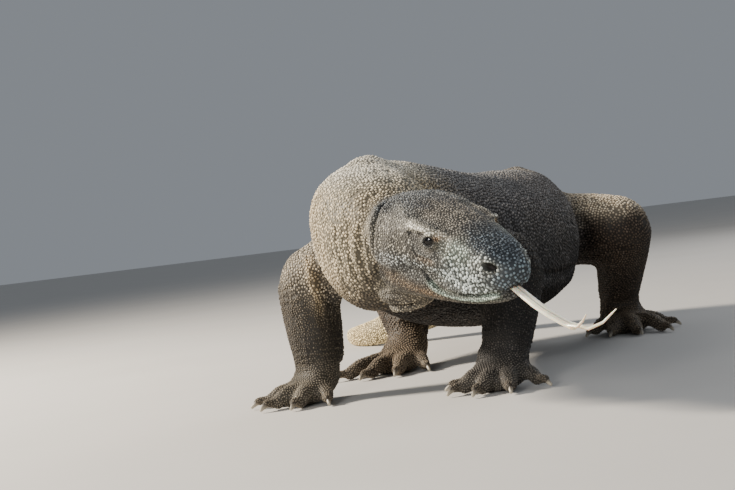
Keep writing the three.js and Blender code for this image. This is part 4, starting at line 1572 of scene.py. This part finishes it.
def eyeball(side):
    """A ball with its pole on the gaze and a ring value from 0 at the pupil to 1 behind."""
    bm = bmesh.new()
    bmesh.ops.create_uvsphere(bm, u_segments=48, v_segments=32, radius=EYE_RADIUS)
    gaze = Vector(mirrored(GAZE, side) @ head_axes.T)
    bmesh.ops.transform(bm, matrix=gaze.to_track_quat("Z", "Y").to_matrix().to_4x4(), verts=bm.verts)
    bmesh.ops.translate(bm, vec=from_head(mirrored(EYE, side)), verts=bm.verts)
    bmesh.ops.recalc_face_normals(bm, faces=bm.faces)
    mesh = mesh_of(bm, "eyeball")
    local = points_of(mesh) - from_head(mirrored(EYE, side))
    angle = np.degrees(np.arccos(np.clip(local @ np.array(gaze) / EYE_RADIUS, -1, 1)))
    mesh.attributes.new("ring", "FLOAT", "POINT").data.foreach_set("value", np.clip(angle / 60, 0, 1))
    shade_smooth(mesh)
    mesh.transform(workshop_to_frame)
    return mesh


eye_wet = eye_material()
for word, side in SIDES.items():
    ball_piece = add_piece(eyeball(side), f"eyeball_{word}", eye_wet)
    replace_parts(ball_piece, f"eye_{word}")

# %% [markdown]
# ## Tongue
# The tongue is out and tasting the air: a flat, moist ribbon the colour of cream, split near its end, with a
# groove down its middle. The solid already has the course, so a copy of it is remeshed finely and smoothed,
# and two strokes press the groove in, above and below.

# %% Tongue
tongue_copy = mesh_of(workshop_copy("tongue", 0.35), "tongue_copy")
tongue_mesh = evaluated(tongue_copy, type="REMESH", mode="VOXEL", voxel_size=0.7)
tongue_points = points_of(tongue_mesh)
tongue_edges = edges_of(tongue_mesh)
tongue_degree = edge_counts(tongue_edges, len(tongue_points))
for _ in range(12):
    tongue_points += 0.6 * (neighbour_mean(tongue_points, tongue_edges, tongue_degree) - tongue_points)
put_points(tongue_mesh, tongue_points)
blade = from_head(smooth_path(TONGUE))
_, groove_along = near_line(tongue_points, blade)
tongue_normals = normals_of(tongue_mesh)
flat_side = np.abs(tongue_normals @ head_axes[:, 2])
middle = near_line(tongue_points @ head_axes * (1, 1, 0), blade @ head_axes * (1, 1, 0))[0]
press = 1.1 * np.exp(-((middle / 1.3) ** 2)) + 0.35 * np.exp(-(((middle - 3.6) / 0.9) ** 2))
press *= smooth_step(flat_side, 0.4, 0.8) * smooth_step(groove_along, 0.05, 0.2)
put_points(tongue_mesh, tongue_points - press[:, None] * tongue_normals)
tip_share = smooth_step(groove_along, 0.86, 1.0)
root_shade = 1 - 0.35 * (1 - smooth_step(groove_along, 0.12, 0.35))
underside = smooth_step(-(tongue_normals @ head_axes[:, 2]), -0.2, 0.6)
cream = np.array([0.92, 0.85, 0.66])
amber = np.array([0.72, 0.42, 0.18])
tongue_colour = cream + (0.55 * tip_share * underside)[:, None] * (amber - cream)
groove_shade = 1 - 0.45 * np.exp(-(middle**2)) * smooth_step(flat_side, 0.4, 0.8)
tongue_colour *= (root_shade * groove_shade)[:, None]
paint_points(tongue_mesh, "flesh", tongue_colour)
shade_smooth(tongue_mesh)
tongue_mesh.transform(workshop_to_frame)

moist = {"Roughness": 0.3, "Subsurface_Weight": 0.25, "Subsurface_Scale": 0.004}
moist |= {"Coat_Weight": 0.35, "Coat_Roughness": 0.12}
tongue_wet, tree, shader = new_material("tongue_wet", **moist)
fleck = noise_node(tree, 420.0, 3.0)
paint_with(tree, shader, "flesh", ranged(tree, fleck, 0.82, 1.12))
emboss(tree, shader, fleck, 0.3, 0.0003)
tongue_piece = add_piece(tongue_mesh, "tongue_flesh", tongue_wet)
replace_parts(tongue_piece, "tongue")

# %% [markdown]
# ## Claws
# Each claw is a curved cone of horn, dark at the root and worn paler at the point. The solids have the curve,
# so merged copies are rounded by two levels of subdivision. They are swollen a little first, because that
# shrinks them. Their points are drawn back and thickened, because walking wears them blunt. The claws of one
# foot are one piece.

# %% Claws
claw_horn, tree, shader = new_material("claw_horn", Specular_IOR_Level=0.5)
streak = noise_node(tree, 260.0, 4.0)
paint_with(tree, shader, "horn", ranged(tree, streak, 0.6, 1.35))
roughen(tree, shader, streak, 0.28, 0.55)
emboss(tree, shader, streak, 0.4, 0.0004)

DARK_HORN = np.array([0.085, 0.070, 0.054])
WORN_HORN = np.array([0.40, 0.355, 0.275])
CLAW_SWELL = 0.7
CLAW_THICKER = 1.3
BLUNT_FROM = 0.74
BLUNT_BY = 0.55
CLAW_FLOOR = 0.6
for name in LIMBS:
    place, side = name.split("_")
    paw = LIMB_PARTS[place][2]
    paw_claws = [node for node in CLAW_NODES if node.startswith(f"claw_{paw}_{side}_")]
    joined = bmesh.new()
    for node in paw_claws:
        root, point = claw_line[node]
        ahead = Vector(point - root)
        bm = workshop_copy(node, CLAW_SWELL)
        for vert in bm.verts:
            share = (vert.co - Vector(root)).xy @ ahead.xy / ahead.xy.length_squared
            vert.co += vert.normal * CLAW_THICKER * min(max(share, 0), 1)
            if share > BLUNT_FROM:
                vert.co -= ahead * BLUNT_BY * (share - BLUNT_FROM)
            vert.co.z = max(vert.co.z, CLAW_FLOOR)
        piece = mesh_of(bm, node)
        joined.from_mesh(piece)
        bpy.data.meshes.remove(piece)
    claws = evaluated(mesh_of(joined, f"claws_{name}"), type="SUBSURF", levels=2, render_levels=2)
    worn = smooth_step(-points_of(claws)[:, 2], -13, -4)[:, None]
    paint_points(claws, "horn", DARK_HORN * (1 - worn) + WORN_HORN * worn)
    shade_smooth(claws)
    claws.transform(workshop_to_frame)
    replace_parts(add_piece(claws, f"claws_{name}", claw_horn), *paw_claws)

# %% [markdown]
# ## Floor and light
# The animal stands on a plain pale floor. One warm lamp on its right stands for a low sun through a small
# diffuser and draws the scales out of the skin. Two weak cool ones keep the far side readable, and a small
# one in front puts a light in the eye.

# %% Floor
floor_bm = bmesh.new()
bmesh.ops.create_grid(floor_bm, x_segments=1, y_segments=1, size=20)
floor_mesh = mesh_of(floor_bm, "floor")
floor = bpy.data.objects.new("floor", floor_mesh)
bpy.context.scene.collection.objects.link(floor)
floor_paint, tree, shader = new_material("floor_paint", Roughness=0.85)
fine = noise_node(tree, 3.0, 6.0)
ramp = add_node(tree, "ShaderNodeValToRGB", [(fine.outputs["Fac"], "Fac")])
ramp.color_ramp.elements[0].color = (0.50, 0.485, 0.46, 1)
ramp.color_ramp.elements[1].color = (0.56, 0.545, 0.52, 1)
tree.links.new(ramp.outputs["Color"], shader.inputs["Base Color"])
floor_mesh.materials.append(floor_paint)
floor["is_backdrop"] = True

# %% Lights
world = bpy.data.worlds.new("studio")
world.use_nodes = True
sky = world.node_tree.nodes["Background"]
sky.inputs["Color"].default_value = (0.72, 0.78, 0.86, 1)
sky.inputs["Strength"].default_value = 0.32
bpy.context.scene.world = world


def softbox(name, at, target, size, power, colour):
    """A square lamp turned to its target, in metres and watts."""
    data = bpy.data.lights.new(name, "AREA")
    data.size = size
    data.energy = power
    data.color = colour
    lamp = bpy.data.objects.new(name, data)
    bpy.context.scene.collection.objects.link(lamp)
    towards = (Vector(target) - Vector(at)).to_track_quat("-Z", "Y")
    lamp.matrix_world = Matrix.Translation(at) @ towards.to_matrix().to_4x4()


softbox("key", (-3.1, -0.9, 2.0), (0.0, -0.5, 0.2), 0.6, 425, (1.0, 0.90, 0.76))
softbox("fill", (2.4, -3.2, 1.4), (0.0, -0.5, 0.2), 2.4, 14, (0.88, 0.94, 1.0))
softbox("catch", (-0.22, -3.27, 0.93), (0.19, -0.9, 0.24), 0.5, 40, (1.0, 0.98, 0.95))
softbox("back", (1.2, 3.4, 2.6), (0.0, 0.0, 0.2), 2.4, 50, (0.95, 0.97, 1.0))

# %% [markdown]
# ## Size
# The finished model's box is printed.

# %% Size and finish
model_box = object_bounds()
print("model:", [[round(v, 4) for v in corner] for corner in model_box], clock())
